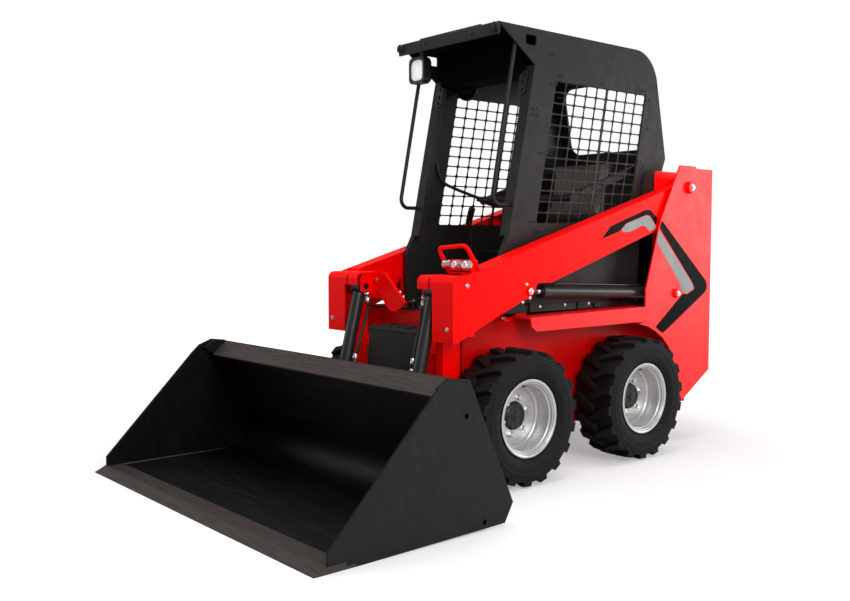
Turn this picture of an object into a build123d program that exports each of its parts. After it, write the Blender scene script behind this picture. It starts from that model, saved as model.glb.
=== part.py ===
from build123d import *
import os
from math import cos, hypot, radians, sin, tan

os.makedirs("parts", exist_ok=True)

# A compact skid steer loader: four equal wheels, a sheet-steel tub, two rear towers that carry
# straight lift arms outside a mesh-sided cab, and a wide dirt bucket on an attachment frame.
# Millimetres. X points to the machine's left, Y to its rear, Z up. The origin is on the ground
# under the middle of the machine. Side outlines are written as (distance behind the front axle,
# height above ground).

# --- Driving dimensions -------------------------------------------------------------------
tip_reach = 1294.0          # front axle to the cutting edge's tip
tail_reach = 1488.0         # front axle to the towers' rear edge
wheelbase = 790.0
front_axle_y = (tip_reach - tail_reach) / 2

# Across the machine, as distances from the centre plane
cab_half = 338.0            # cab side panels' outer face
plate = 8.0                 # tower, chassis and arm plate thickness
run_gap = 6.0               # air between arms and fixed plates
wall_in = cab_half + 4.0    # tower inner plate, inner face
arm_in = wall_in + plate + run_gap
arm_out = 441.0
arm_mid = (arm_in + arm_out) / 2
tower_out = 460.0           # tower outer plate, outer face
chassis_half = 345.0
seat_gap = 0.3              # air under a piece that rests on its seat
pin_gap = 0.05              # radial play of a pin in its bore

# Wheels and tyres
tyre_r = 292.0
tyre_mid = 478.0            # wheel centre plane from the machine's centre
lug_height = 24.0
lug_pairs = 18
bead_r = 153.0
flange_r = 166.7
rim_half = 92.0
rim_wall = 6.0
hub_r = 58.0
axle_r = 44.0

# Pivots, as (behind the front axle, height)
arm_pivot = (tail_reach - 203.0, 1306.0)
lift_base = (tail_reach - 304.0, 771.0)
lift_eye = (131.6, 817.0)
tilt_base = (-265.0, 828.0)
hitch_pin = (-340.0, 160.0)
tilt_eye = (-401.8, 271.8)
hood_pivot = (tail_reach - 282.0, 1164.0)
pin_r = 20.0
small_pin_r = 14.0
tilt_x = 262.0              # tilt cylinders' centre plane

# Bucket
bucket_half = 879.0
bucket_plate = 10.0
bucket_skin = 6.0


def side_plane(x):
    """A plane across the machine at x, measured from the front axle and the ground."""
    return Plane(origin=(x, front_axle_y, 0), x_dir=(0, 1, 0), z_dir=(1, 0, 0))


def outline(points, x, holes=(), radius=0.0):
    """A closed side outline at x, with round holes given as (point, radius)."""
    with BuildSketch(side_plane(x)) as face:
        with BuildLine():
            Polyline(*points, close=True)
        make_face()
        if radius:
            fillet(face.vertices(), radius)
        for centre, hole_r in holes:
            with Locations(centre):
                Circle(hole_r, mode=Mode.SUBTRACT)
    return face.sketch


def disc(centre, radius, x):
    """A round side outline at x."""
    with BuildSketch(side_plane(x)) as face:
        with Locations(centre):
            Circle(radius)
    return face.sketch


def strut(start, end, width_start, width_end, x):
    """A bar seen from the side, from start to end, with round ends."""
    with BuildSketch(side_plane(x)) as face:
        with Locations(start):
            Circle(width_start / 2)
        with Locations(end):
            Circle(width_end / 2)
        make_hull()
    return face.sketch


def rounded(points, x, corners, holes=()):
    """A side outline at x whose corners, given as (number of the point, radius), are rounded."""
    with BuildSketch(side_plane(x)) as face:
        with BuildLine():
            Polyline(*points, close=True)
        make_face()
        for number, corner_r in corners:
            fillet(face.vertices().sort_by_distance((*points[number], 0))[0], corner_r)
        for centre, hole_r in holes:
            with Locations(centre):
                Circle(hole_r, mode=Mode.SUBTRACT)
    return face.sketch


def beside(path, distance):
    """An open path moved to its right by a distance, with mitred corners."""
    normals = []
    for start, end in zip(path, path[1:]):
        length = hypot(end[0] - start[0], end[1] - start[1])
        normals.append(((end[1] - start[1]) / length, (start[0] - end[0]) / length))
    moved = []
    for point, before, after in zip(path, [normals[0]] + normals, normals + [normals[-1]]):
        share = distance / (1 + before[0] * after[0] + before[1] * after[1])
        moved.append((point[0] + (before[0] + after[0]) * share, point[1] + (before[1] + after[1]) * share))
    return moved


def tube_along(points, tube_r, bend_r):
    """A round tube along straight runs between points in space, with bends of one radius."""
    with BuildPart() as tube:
        with BuildLine() as route:
            FilletPolyline(*points, radius=bend_r)
        first, second = Vector(*points[0]), Vector(*points[1])
        with BuildSketch(Plane(origin=first, z_dir=second - first)):
            Circle(tube_r)
        sweep()
    return tube.part


def place(x, point):
    """A point in space from x and a side outline's point."""
    return (x, front_axle_y + point[0], point[1])


def save(part, name):
    part.label = name
    export_step(part, f"parts/{name}.step")


# --- Chassis ------------------------------------------------------------------------------
belly_z = 180.0
tub_front = -180.0
tub_rear = tail_reach - 48.0
sill_z = 700.0
case_in = 235.0             # inner face of the closed chaincases
case_top = 560.0
front_top = 726.0
cab_floor_z = 745.0
engine_y = tail_reach - 378.0
engine_low = 232.0
engine_cube = (400.0, 400.0, 440.0)
radiator_y = tail_reach - 128.0
radiator_low = 240.0

with BuildPart() as chassis_tub:
    # belly pan, front panel and the lower rear wall
    extrude(outline([(tub_front, belly_z), (tub_rear, belly_z), (tub_rear, belly_z + plate),
                     (tub_front, belly_z + plate)], -chassis_half), 2 * chassis_half)
    extrude(outline([(tub_front, belly_z), (tub_front + plate, belly_z), (tub_front + plate, front_top),
                     (tub_front, front_top)], -chassis_half + plate), 2 * (chassis_half - plate))
    rear_wall_top = 480.0
    extrude(outline([(tub_rear - 2 * plate, belly_z), (tub_rear, belly_z), (tub_rear, rear_wall_top),
                     (tub_rear - 2 * plate, rear_wall_top)], -chassis_half), 2 * chassis_half)
    # the closed chaincases that carry the axles, and the side walls above them
    for side in (-1, 1):
        x0 = case_in if side > 0 else -chassis_half
        extrude(outline([(tub_front, belly_z), (wheelbase + 330, belly_z), (wheelbase + 330, case_top),
                         (tub_front, case_top)], x0), chassis_half - case_in)
        x0 = chassis_half - plate if side > 0 else -chassis_half
        extrude(outline([(tub_front, case_top), (tub_rear, belly_z), (tub_rear, sill_z), (tub_front, sill_z)], x0),
                plate)
    # cross channels that carry the cab floor, and the rails under the engine
    for channel_y in (150.0, tail_reach - 528):
        extrude(outline([(channel_y, sill_z - 15), (channel_y + 70, sill_z - 15),
                         (channel_y + 70, cab_floor_z - seat_gap), (channel_y, cab_floor_z - seat_gap)], -chassis_half + plate), 2 * (chassis_half - plate))
    for rail_x in (-150, 150):
        rail_half = engine_cube[1] / 2 - 10
        extrude(outline([(engine_y - rail_half, belly_z + plate), (engine_y + rail_half, belly_z + plate),
                         (engine_y + rail_half, engine_low - seat_gap),
                         (engine_y - rail_half, engine_low - seat_gap)], rail_x - 30), 60)
    extrude(outline([(radiator_y - 40, belly_z + plate), (radiator_y + 40, belly_z + plate),
                     (radiator_y + 40, radiator_low - seat_gap), (radiator_y - 40, radiator_low - seat_gap)],
                    -240), 480)
save(chassis_tub.part, "chassis_tub")

# --- Axle housings -------------------------------------------------------------------------
spindle_r = 24.0            # axle end inside the hub
with BuildPart() as axle_housings:
    for axle_y in (0.0, wheelbase):
        for side in (-1, 1):
            x0 = chassis_half if side > 0 else -chassis_half
            extrude(disc((axle_y, tyre_r), axle_r, x0), side * 55)
            extrude(disc((axle_y, tyre_r), axle_r + 24, x0), side * 14)
            extrude(disc((axle_y, tyre_r), spindle_r, x0), side * (tyre_mid - 20 - chassis_half))
save(axle_housings.part, "axle_housings")

# --- Decks over the wheels ------------------------------------------------------------------
deck_front = 119.0
tower_foot = tail_reach - 556
deck_low = 641.0
with BuildPart() as decks:
    for side in (-1, 1):
        x_flange = tower_out - plate if side > 0 else -tower_out
        with BuildSketch(side_plane(x_flange)) as flange:
            with BuildLine():
                Polyline((deck_front, sill_z + 3), (tower_foot, sill_z + 14), (tower_foot, deck_low),
                         (deck_front + 36, deck_low), (deck_front + 6, deck_low + 22), close=True)
            make_face()
            fillet(flange.vertices().sort_by(Axis.Y)[:2], 12)
        extrude(amount=plate)
        x_top = chassis_half if side > 0 else -tower_out
        extrude(outline([(deck_front, sill_z + 3), (tower_foot, sill_z + 14),
                         (tower_foot, sill_z + 14 - plate), (deck_front, sill_z + 3 - plate)], x_top),
                tower_out - chassis_half)
save(decks.part, "decks")

door_half = wall_in - 7.0
door_hinge_x = 331.0
door_hinge_y = tail_reach - 8.0
door_hinges = (580.0, 1040.0)

# --- Towers ----------------------------------------------------------------------------------
tower_top = 1404.0
tower_hump = 1415.0
tower_toe = (tail_reach - 241, 216.0)
arch_centre = (wheelbase + 4, tyre_r)
outer_outline = [(tower_foot, deck_low), (tower_foot + 2, 796), (tower_foot + 115, 1138), (tower_foot + 207, 1301),
                 (tower_foot + 255, 1388), (tower_foot + 272, tower_hump), (arm_pivot[0] + 50, tower_hump),
                 (arm_pivot[0] + 62, tower_top), (tail_reach, tower_top), (tail_reach, 358), tower_toe]
# the rear wheel's arch, from the tower's toe up to the deck
for turn, arch_r in ((32, 396), (43, 384), (54, 370), (64, 361), (76, 352)):
    outer_outline.append((arch_centre[0] + arch_r * cos(radians(turn)), arch_centre[1] + arch_r * sin(radians(turn))))
inner_front = tail_reach - 345
inner_top = 1390.0

with BuildPart() as tower_left:
    extrude(outline(outer_outline, tower_out - plate,
                    holes=[(arm_pivot, pin_r + pin_gap), (lift_base, small_pin_r + pin_gap)]), plate)
    # inner plate, which shows above the arm
    extrude(rounded([(inner_front, sill_z + 14), (inner_front, inner_top), (tail_reach - plate, inner_top),
                     (tail_reach - plate, sill_z + 14)], wall_in, corners=[(1, 20)],
                    holes=[(arm_pivot, pin_r + pin_gap), (lift_base, small_pin_r + pin_gap)]), plate)
    # rear closing plate between the two, and the shelf behind the rear wheel
    extrude(outline([(tail_reach - plate, 470), (tail_reach, 470), (tail_reach, tower_top - 16),
                     (tail_reach - plate, tower_top - 16)], chassis_half), tower_out - plate - chassis_half)
    shelf_front = tail_reach - 378
    extrude(outline([(shelf_front, sill_z), (tail_reach - plate, sill_z), (tail_reach - plate, sill_z + 14),
                     (shelf_front, sill_z + 14)], chassis_half), tower_out - plate - chassis_half)
    # the hood's pivot pin
    extrude(disc(hood_pivot, 6, door_half - 8), wall_in - door_half + 8)
save(tower_left.part, "tower_left")

with BuildPart() as tower_right:
    mirror(tower_left.part, about=Plane.YZ)
    # the rear door's two hinge tabs with their pins
    for hinge_z in door_hinges:
        with Locations((-(wall_in + plate + door_hinge_x - 10) / 2, front_axle_y + door_hinge_y - 2, hinge_z)):
            Box(wall_in + plate - door_hinge_x + 10, 16, 24)
        with Locations((-door_hinge_x, front_axle_y + door_hinge_y, hinge_z)):
            Cylinder(5, 80)
save(tower_right.part, "tower_right")

# --- Pins that stay with the chassis ----------------------------------------------------------
with BuildPart() as chassis_pins:
    for side in (-1, 1):
        x0 = wall_in if side > 0 else -(tower_out + 8)
        extrude(disc(arm_pivot, pin_r, x0), tower_out + 8 - wall_in)
        extrude(disc(lift_base, small_pin_r, x0), tower_out + 8 - wall_in)
        # heads outside the towers
        for pivot, head_r in ((arm_pivot, pin_r + 9), (lift_base, small_pin_r + 8)):
            x0 = tower_out + seat_gap if side > 0 else -(tower_out + seat_gap + 9)
            extrude(disc(pivot, head_r, x0), 9)
save(chassis_pins.part, "chassis_pins")

# --- Engine, radiator --------------------------------------------------------------------------
with BuildPart() as engine_block:
    with Locations((0, front_axle_y + engine_y, engine_low + engine_cube[2] / 2)):
        Box(*engine_cube)
save(engine_block.part, "engine_block")

with BuildPart() as radiator:
    with Locations((0, front_axle_y + radiator_y, (radiator_low + 1080) / 2)):
        Box(440, 60, 1080 - radiator_low)
save(radiator.part, "radiator")

# --- Rear door and engine hood ------------------------------------------------------------------
door_low = rear_wall_top + 6
door_high = 1130.0
door_depth = 34.0
door_face = tail_reach - 4.0
with BuildPart() as rear_door:
    extrude(outline([(door_face - door_depth, door_low), (door_face, door_low), (door_face, door_high),
                     (door_face - door_depth, door_high)], -door_half), 2 * door_half)
    slot_count = 9
    slot_pitch = 44.0
    with BuildSketch(Plane.XZ.offset(-(front_axle_y + door_face))) as slots:
        with Locations((0, (door_low + door_high) / 2)):
            with GridLocations(0, slot_pitch, 1, slot_count):
                RectangleRounded(440, 22, 10)
    extrude(amount=door_depth, mode=Mode.SUBTRACT)
    # notches for the hinge tabs, and the bores of their pins
    for hinge_z in door_hinges:
        with Locations((-door_half + 6, front_axle_y + door_face - door_depth / 2, hinge_z)):
            Box(26, door_depth, 36, mode=Mode.SUBTRACT)
        with Locations((-door_hinge_x, front_axle_y + door_hinge_y, hinge_z)):
            Cylinder(5 + pin_gap, 82, mode=Mode.SUBTRACT)
save(rear_door.part, "rear_door")

hood_front = tail_reach - 288
hood_rear = door_face - 2
hood_high = 1176.0
with BuildPart() as hood:
    extrude(outline([(hood_front, hood_high), (hood_rear, door_high + 30), (hood_rear, door_high + 6),
                     (hood_rear - 8, door_high + 6), (hood_rear - 8, door_high + 22),
                     (hood_front, hood_high - 8)], -door_half), 2 * door_half)
    for side in (-1, 1):
        extrude(outline([(hood_front, hood_high - 4), (hood_front + 60, hood_high - 7), (hood_front + 40, hood_high - 26),
                         (hood_front, hood_high - 26)], door_half - 8 if side > 0 else -door_half), 8)
    extrude(disc(hood_pivot, 6 + pin_gap, -door_half), 2 * door_half, mode=Mode.SUBTRACT)
save(hood.part, "hood")

# --- Lift arms ------------------------------------------------------------------------------------
arm_slope = 0.290
arm_front = -320.0
cap_top = 893.0


def arm_top(y):
    return 891.5 + arm_slope * (y + 251.5)


def arm_low(y):
    return 852.3 + 0.307 * (y - 276.5)


leg_in = 300.0
ear_gap = 36.0             # from the tilt cylinders' centre plane to their ears
leg_out = chassis_half
cap_in = 215.0
arm_heel = arm_pivot[0] - 35
arm_tail = [(arm_heel, arm_top(arm_heel)), (arm_pivot[0] + 28, arm_pivot[1] + 48), (arm_pivot[0] + 52, arm_pivot[1] + 34),
            (arm_pivot[0] + 66, arm_pivot[1] - 8), (arm_pivot[0] + 52, arm_pivot[1] - 66),
            (arm_heel - 50, arm_low(arm_heel - 50))]
cap_roll = 31.0
beam_outline = [(arm_front, 617), (arm_front, cap_top), (-251.5, arm_top(-251.5)),
                *arm_tail, (276.5, 852.3), (181.5, 850.7), (160, 812), (137, 786), (110, 784.5), (-65, 716), (-300, 617)]
with BuildPart() as arm_left:
    # the outer plate runs the whole length, the box beam behind it
    extrude(rounded(beam_outline, arm_out - plate, corners=[(1, cap_roll)]), plate)
    beam = [(-200, 760), (-200, arm_top(-200) - 1), (arm_heel, arm_top(arm_heel) - 1), *arm_tail[1:],
            (420, arm_low(420)), (380, 950), (90, 905), (-20, 760)]
    extrude(outline(beam, arm_in), arm_out - plate - arm_in)
    # clevis for the lift rod's eye
    clevis = [(60, 760), (60, 900), (420, 960), (420, arm_low(420)), (276.5, 852.3), (181.5, 850.7),
              (160, 812), (137, 786), (110, 784.5)]
    extrude(outline(clevis, arm_in), plate)
    # front cap: a rolled plate in front, on top, and the wall between leg and beam
    extrude(rounded([(arm_front, 835), (arm_front, cap_top), (-190, cap_top), (-190, cap_top - plate),
                     (arm_front + plate, cap_top - plate), (arm_front + plate, 835)], cap_in,
                    corners=[(1, cap_roll), (4, cap_roll - plate)]), arm_out - plate - cap_in)
    extrude(outline([(arm_front, 617), (arm_front, 865), (arm_front + plate, 865), (arm_front + plate, 617)], 311),
            arm_out - plate - 311)
    # bridge between the beam and the down leg
    extrude(outline([(-210, 800), (-210, cap_top - 1), (-190, cap_top - 1), (-190, 800)], cap_in), leg_in + 1 - cap_in)
    extrude(outline([(-210, 650), (-210, cap_top - 1), (-190, cap_top - 1), (-190, 650)], leg_in),
            arm_out - plate - leg_in)
    extrude(outline([(-312, 640), (-312, 656), (-190, 656), (-190, 640)], leg_out - plate), arm_out - leg_out)
    # down leg to the hitch pin
    leg = [(-289, 790), (-289, 400), (-372, 172), (-371, 150), (-345, 128), (-318, 134), (-196, 380),
           (-190, 790)]
    extrude(outline(leg, leg_in, holes=[(hitch_pin, pin_r + pin_gap)]), leg_out - leg_in)
    # ears for the tilt cylinder's base
    for ear_x in (tilt_x - ear_gap - plate, tilt_x + ear_gap):
        extrude(outline([(-292, 806), (-296, 864), (-280, cap_top - 6), (-190, cap_top - 6), (-190, 800), (-272, 796)],
                        ear_x), plate)
    # slit in the cap's front beside the tilt cylinder
    with Locations((tilt_x + 27, front_axle_y + arm_front, cap_top - 58)):
        Box(11, 40, 90, mode=Mode.SUBTRACT)
    # bores
    extrude(disc(arm_pivot, pin_r + pin_gap, 0), 600, mode=Mode.SUBTRACT)
    extrude(disc(tilt_base, small_pin_r + pin_gap, 0), 315, mode=Mode.SUBTRACT)
save(arm_left.part, "arm_left")

with BuildPart() as arm_right:
    mirror(arm_left.part, about=Plane.YZ)
save(arm_right.part, "arm_right")

with BuildPart() as arm_crossmember:
    extrude(outline([(-262, 430), (-262, 560), (-190, 600), (-190, 430)], -leg_in + seat_gap),
            2 * (leg_in - seat_gap))
save(arm_crossmember.part, "arm_crossmember")

with BuildPart() as step_box:
    extrude(outline([(-300, 430), (-286, 640), (-276, 651), (-205, 651), (-205, 592.3), (-262.3, 560.5),
                     (-262.3, 430)], -164), 328)
save(step_box.part, "step_box")

with BuildPart() as arm_pins:
    for side in (-1, 1):
        x0 = tilt_x - ear_gap - plate - 5 if side > 0 else -(tilt_x + ear_gap + plate + 5)
        extrude(disc(tilt_base, small_pin_r, x0), 2 * (ear_gap + plate + 5))
save(arm_pins.part, "arm_pins")

# the hydraulic outlets on the left arm: a bolted block and the bent tube that guards them
guard_y = -212.0
cap_seat = cap_top + seat_gap
with BuildPart() as coupler_block:
    extrude(outline([(-246, cap_seat), (-246, 952), (-238, 960), (guard_y + 8, 960), (guard_y + 8, cap_seat)], 272), 152)
    # three outlets, one out of the side and two out of the front
    with BuildSketch(Plane.YZ.offset(206)):
        with Locations((front_axle_y - 222, 936)):
            Circle(16)
    extrude(amount=70)
    with BuildSketch(Plane.XZ.offset(-(front_axle_y - 284))):
        with Locations((322, 936), (388, 936)):
            Circle(16)
    extrude(amount=-42)
    add(tube_along([place(420, (guard_y, cap_seat)), place(366, (guard_y, 1015)), place(200, (guard_y, 1015)),
                    place(285, (guard_y, cap_seat))], 9, 26))
    with Locations(place(0, (guard_y, cap_seat - 30))):
        Box(1000, 60, 60, mode=Mode.SUBTRACT)
save(coupler_block.part, "coupler_block")

# the strut that locks the raised arms, stowed flat on the right arm's inner face
lock_pin = (-122.0, 845.0)
with BuildPart() as arm_lock:
    extrude(rounded([(-149, 852), (-140, 866), (-36, 884), (87, 731), (58, 697), (-5, 696), (-148, 833)],
                    -(arm_in - seat_gap), corners=[(0, 8), (6, 8)]), arm_in - seat_gap - chassis_half - 5.2)
    extrude(disc(lock_pin, 11, -(arm_in - seat_gap)), 10.5)
save(arm_lock.part, "arm_lock")

# --- Cylinders: barrels and rods ------------------------------------------------------------------


def barrel_shape(base, eye, bore_r, reach, inner, x, width):
    """A cylinder's tube from the eye at base to its gland at reach, open for an inner length."""
    direction = Vector(0, eye[0] - base[0], eye[1] - base[1]).normalized()
    origin = Vector(x, front_axle_y + base[0], base[1])
    with BuildPart() as tube:
        with BuildSketch(Plane(origin=origin + direction * bore_r * 1.1, x_dir=(1, 0, 0), z_dir=direction)):
            Circle(bore_r)
        extrude(amount=reach - bore_r * 1.1)
        with BuildSketch(Plane(origin=origin + direction * (reach - 34), x_dir=(1, 0, 0), z_dir=direction)):
            Circle(bore_r + 3)
        extrude(amount=34)
        extrude(disc(base, bore_r * 1.15, x - width / 2), width)
        extrude(disc(base, small_pin_r + pin_gap, x - width / 2), width, mode=Mode.SUBTRACT)
        with BuildSketch(Plane(origin=origin + direction * (reach - inner), x_dir=(1, 0, 0), z_dir=direction)):
            Circle(bore_r * 0.56 + pin_gap)
        extrude(amount=inner + 1, mode=Mode.SUBTRACT)
    return tube.part


def rod_shape(base, eye, bore_r, reach, inner, x, width):
    """A piston rod, from an inner length inside the gland to its eye."""
    direction = Vector(0, eye[0] - base[0], eye[1] - base[1]).normalized()
    length = hypot(eye[0] - base[0], eye[1] - base[1])
    origin = Vector(x, front_axle_y + base[0], base[1])
    eye_r = bore_r * 0.95
    with BuildPart() as rod:
        with BuildSketch(Plane(origin=origin + direction * (reach - inner), x_dir=(1, 0, 0), z_dir=direction)):
            Circle(bore_r * 0.56)
        extrude(amount=length - reach + inner - eye_r * 0.8)
        extrude(disc(eye, eye_r, x - width / 2), width)
        extrude(disc(eye, small_pin_r, x - width / 2 - 3), width + 6)
    return rod.part


lift_bore_r = 29.0
lift_nose = 113.4           # from the gland to the rod's eye at rest
lift_reach = hypot(lift_eye[0] - lift_base[0], lift_eye[1] - lift_base[1]) - lift_nose
lift_inner = lift_reach - 260.0     # rod inside the barrel at rest
tilt_bore_r = 29.0
tilt_nose = 177.8
tilt_reach = hypot(tilt_eye[0] - tilt_base[0], tilt_eye[1] - tilt_base[1]) - tilt_nose
tilt_inner = tilt_reach - 135.0

with BuildPart() as lift_barrels:
    for side in (-1, 1):
        add(barrel_shape(lift_base, lift_eye, lift_bore_r, lift_reach, lift_inner + 20, side * arm_mid, 56))
save(lift_barrels.part, "lift_barrels")
with BuildPart() as lift_rods:
    for side in (-1, 1):
        add(rod_shape(lift_base, lift_eye, lift_bore_r, lift_reach, lift_inner, side * arm_mid, 50))
save(lift_rods.part, "lift_rods")
with BuildPart() as tilt_barrels:
    for side in (-1, 1):
        add(barrel_shape(tilt_base, tilt_eye, tilt_bore_r, tilt_reach, tilt_inner + 70, side * tilt_x, 60))
save(tilt_barrels.part, "tilt_barrels")
with BuildPart() as tilt_rods:
    for side in (-1, 1):
        add(rod_shape(tilt_base, tilt_eye, tilt_bore_r, tilt_reach, tilt_inner, side * tilt_x, 30))
save(tilt_rods.part, "tilt_rods")

# --- Attachment frame and bucket ---------------------------------------------------------------------
floor_z = 14.0
heel = (-480.0, floor_z)
back_high = (-650.0, 552.0)
frame_half = 362.0
back_face = bucket_skin / 2 + seat_gap
with BuildPart() as attach_frame:
    # face plate against the bucket's back
    back_dir = ((back_high[0] - heel[0]) / hypot(back_high[0] - heel[0], back_high[1] - heel[1]),
                (back_high[1] - heel[1]) / hypot(back_high[0] - heel[0], back_high[1] - heel[1]))
    normal = (back_dir[1], -back_dir[0])

    def off_back(along, out):
        """A point at a height along the bucket's back and a distance behind it."""
        return (heel[0] + back_dir[0] * along + normal[0] * out,
                heel[1] + back_dir[1] * along + normal[1] * out)

    extrude(outline([off_back(170, back_face), off_back(490, back_face), off_back(490, back_face + 12),
                     off_back(170, back_face + 12)], -frame_half), 2 * frame_half)
    eye_lug = [off_back(240, back_face + 10), off_back(420, back_face + 10), (tilt_eye[0] - 6, tilt_eye[1] + 30),
               (tilt_eye[0] + 26, tilt_eye[1] + 14), (tilt_eye[0] + 26, tilt_eye[1] - 16),
               (tilt_eye[0] - 10, tilt_eye[1] - 32)]
    hitch_lug = [off_back(172, back_face + 10), off_back(420, back_face + 10), (tilt_eye[0] - 6, tilt_eye[1] + 30),
                 (tilt_eye[0] + 26, tilt_eye[1] + 14), (hitch_pin[0] + 38, hitch_pin[1] + 14),
                 (hitch_pin[0] + 38, hitch_pin[1] - 16), (hitch_pin[0] + 10, hitch_pin[1] - 38),
                 (hitch_pin[0] - 20, hitch_pin[1] - 38)]
    for side in (-1, 1):
        for lug, lug_in, lug_out in ((eye_lug, 234, 243), (hitch_lug, 281, 290), (hitch_lug, 349, 361)):
            extrude(outline(lug, lug_in if side > 0 else -lug_out), lug_out - lug_in)
        extrude(disc(hitch_pin, pin_r, 281 if side > 0 else -366), 85)
        # heads of the tilt rods' pins, outside their lugs
        for head_in, head_out in ((231, 234), (290, 293)):
            extrude(disc(tilt_eye, small_pin_r + 5, head_in if side > 0 else -head_out), head_out - head_in)
save(attach_frame.part, "attach_frame")

side_outline = [(-1240, 23.3), (-1240, 63), (-812, 505), (-774, 539), (-709, 563), (-636, 554), (-417, 81),
                (-459, 10), (-1129.7, 0), (-1129.7, 10.7), (-1169.7, 10.7), (-1169.7, 23.3)]
side_holes = [(-652.0, 426.0), (-563.0, 33.0)]
side_hole_r = 10.0
lip_front = (-722.0, 492.0)
lip_back = (-654.5, 551.0)
with BuildPart() as bucket_shell:
    for x0 in (-bucket_half, bucket_half - bucket_plate):
        extrude(outline(side_outline, x0, holes=[(hole, side_hole_r) for hole in side_holes]), bucket_plate)
    # floor, rolled heel and back from one sheet
    with BuildSketch(side_plane(-bucket_half + bucket_plate)) as skin:
        with BuildLine():
            FilletPolyline((-1170, floor_z), heel, back_high, radius=115)
        trace(line_width=bucket_skin)
    extrude(amount=2 * (bucket_half - bucket_plate))
    # corner plates at the lip's ends
    for x0 in (-bucket_half + bucket_plate, bucket_half - bucket_plate - 34):
        extrude(outline([(back_high[0] - 1, back_high[1] + 1), (-709, 560), (-760, 528), (-745, 508), (-722, 500),
                         (-640, 512)], x0), 34)
save(bucket_shell.part, "bucket_shell")

# the folded lip that stiffens the back's top edge
lip_half = bucket_half - bucket_plate - 34 - seat_gap
with BuildPart() as bucket_lip:
    extrude(outline([lip_back, lip_front, (lip_front[0] + 6, lip_front[1] - 8), (-633.5, 484), (-635, 491),
                     (lip_front[0] + 12, lip_front[1] - 0.5), (-655.5, 541)], -lip_half), 2 * lip_half)
save(bucket_lip.part, "bucket_lip")

with BuildPart() as cutting_edge:
    extrude(outline([(-tip_reach, 0), (-tip_reach + 50, 23), (-1170, 23), (-1170, 10.7), (-1130, 10.7), (-1130, 0)],
                    -bucket_half), 2 * bucket_half)
save(cutting_edge.part, "cutting_edge")

# --- Wheels -----------------------------------------------------------------------------------------
tread_r = tyre_r - lug_height


def tyre_solid():
    """A lugged tyre about the X axis, in flat-faced sectors, one behind each pair of lugs."""
    sectors = lug_pairs
    half_turn = 180 / sectors
    with BuildPart() as wedge:
        with BuildSketch(Plane.YZ.offset(-120)):
            with BuildLine():
                reach = 2 * tyre_r
                Polyline((0, 0), (-reach * tan(radians(half_turn)), reach), (reach * tan(radians(half_turn)), reach),
                         close=True)
            make_face()
        extrude(amount=240)
    with BuildPart() as sector:
        with BuildSketch(Plane.XZ.offset(-80)):
            with BuildLine():
                Polyline((-84, bead_r), (-84, flange_r + 1), (-104, bead_r + 50), (-101, tread_r - 8),
                         (-92, tread_r - 1), (92, tread_r - 1), (101, tread_r - 8), (104, bead_r + 50),
                         (84, flange_r + 1), (84, bead_r), close=True)
            make_face()
        extrude(amount=160)
        add(wedge.part, mode=Mode.INTERSECT)
    lug_shapes = []
    for hand in (-1, 1):
        with BuildPart() as lug:
            with BuildSketch(Plane.XZ.offset(-21)):
                with BuildLine():
                    Polyline((-14 * hand, tread_r - 12), (-14 * hand, tyre_r - 1.2), (101 * hand, tyre_r - 7),
                             (101 * hand, tread_r - 4), (60 * hand, tread_r - 26), close=True)
                make_face()
            extrude(amount=42)
        lug_shapes.append(lug.part.rotate(Axis.Z, 24 * hand).rotate(Axis.X, half_turn / 2 * hand))
    pieces = []
    for step in range(sectors):
        pieces.append(sector.part.rotate(Axis.X, step * 2 * half_turn))
    for step in range(lug_pairs):
        for shape in lug_shapes:
            pieces.append(shape.rotate(Axis.X, step * 360 / lug_pairs))
    with BuildPart() as tyre:
        add(pieces)
    return tyre.part


tyre_body = tyre_solid()


def wheel_parts(side, axle_y):
    """Tyre, rim and hub of one wheel, built about its own axle and moved to its place."""
    place = Location((side * tyre_mid, front_axle_y + axle_y, tyre_r))
    axle_plane = Plane(origin=(0, 0, 0), x_dir=(1, 0, 0), z_dir=(0, 0, 1))
    with BuildPart() as tyre:
        add(tyre_body)
    with BuildPart() as rim:
        with BuildSketch(Plane.XY):
            with BuildLine():
                Polyline((-rim_half, flange_r), (-rim_half + 7, flange_r), (-rim_half + 7, bead_r - 0.6),
                         (-60, bead_r - 0.6), (-48, bead_r - 18), (0, bead_r - 18), (20, bead_r - 0.6),
                         (rim_half - 7, bead_r - 0.6), (rim_half - 7, flange_r), (rim_half, flange_r),
                         (rim_half, bead_r - 0.6 - rim_wall), (22, bead_r - 0.6 - rim_wall), (2, bead_r - 18 - rim_wall),
                         (-8, bead_r - 18 - rim_wall), (-8, hub_r + 1), (-16, hub_r + 1),
                         (-16, bead_r - 18 - rim_wall), (-50, bead_r - 18 - rim_wall),
                         (-62, bead_r - 0.6 - rim_wall), (-rim_half, bead_r - 0.6 - rim_wall), close=True)
            make_face()
        revolve(axis=Axis.X)
    with BuildPart() as hub:
        with BuildSketch(Plane.XY):
            with BuildLine():
                Polyline((-60, spindle_r + pin_gap), (-60, 66), (-17, 92), (-16.3, 92), (-16.3, hub_r), (6, hub_r),
                         (12, hub_r - 6), (12, 0), (-15, 0), (-15, spindle_r + pin_gap), close=True)
            make_face()
        revolve(axis=Axis.X)
    turn = Rotation(0, 0, 0) if side > 0 else Rotation(0, 180, 0)
    return [place * (turn * shape.part) for shape in (tyre, rim, hub)]


for side, side_name in ((1, "left"), (-1, "right")):
    for axle_y, axle_name in ((0.0, "front"), (wheelbase, "rear")):
        tyre_part, rim_part, hub_part = wheel_parts(side, axle_y)
        save(tyre_part, f"tyre_{axle_name}_{side_name}")
        save(rim_part, f"rim_{axle_name}_{side_name}")
        save(hub_part, f"hub_{axle_name}_{side_name}")

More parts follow.
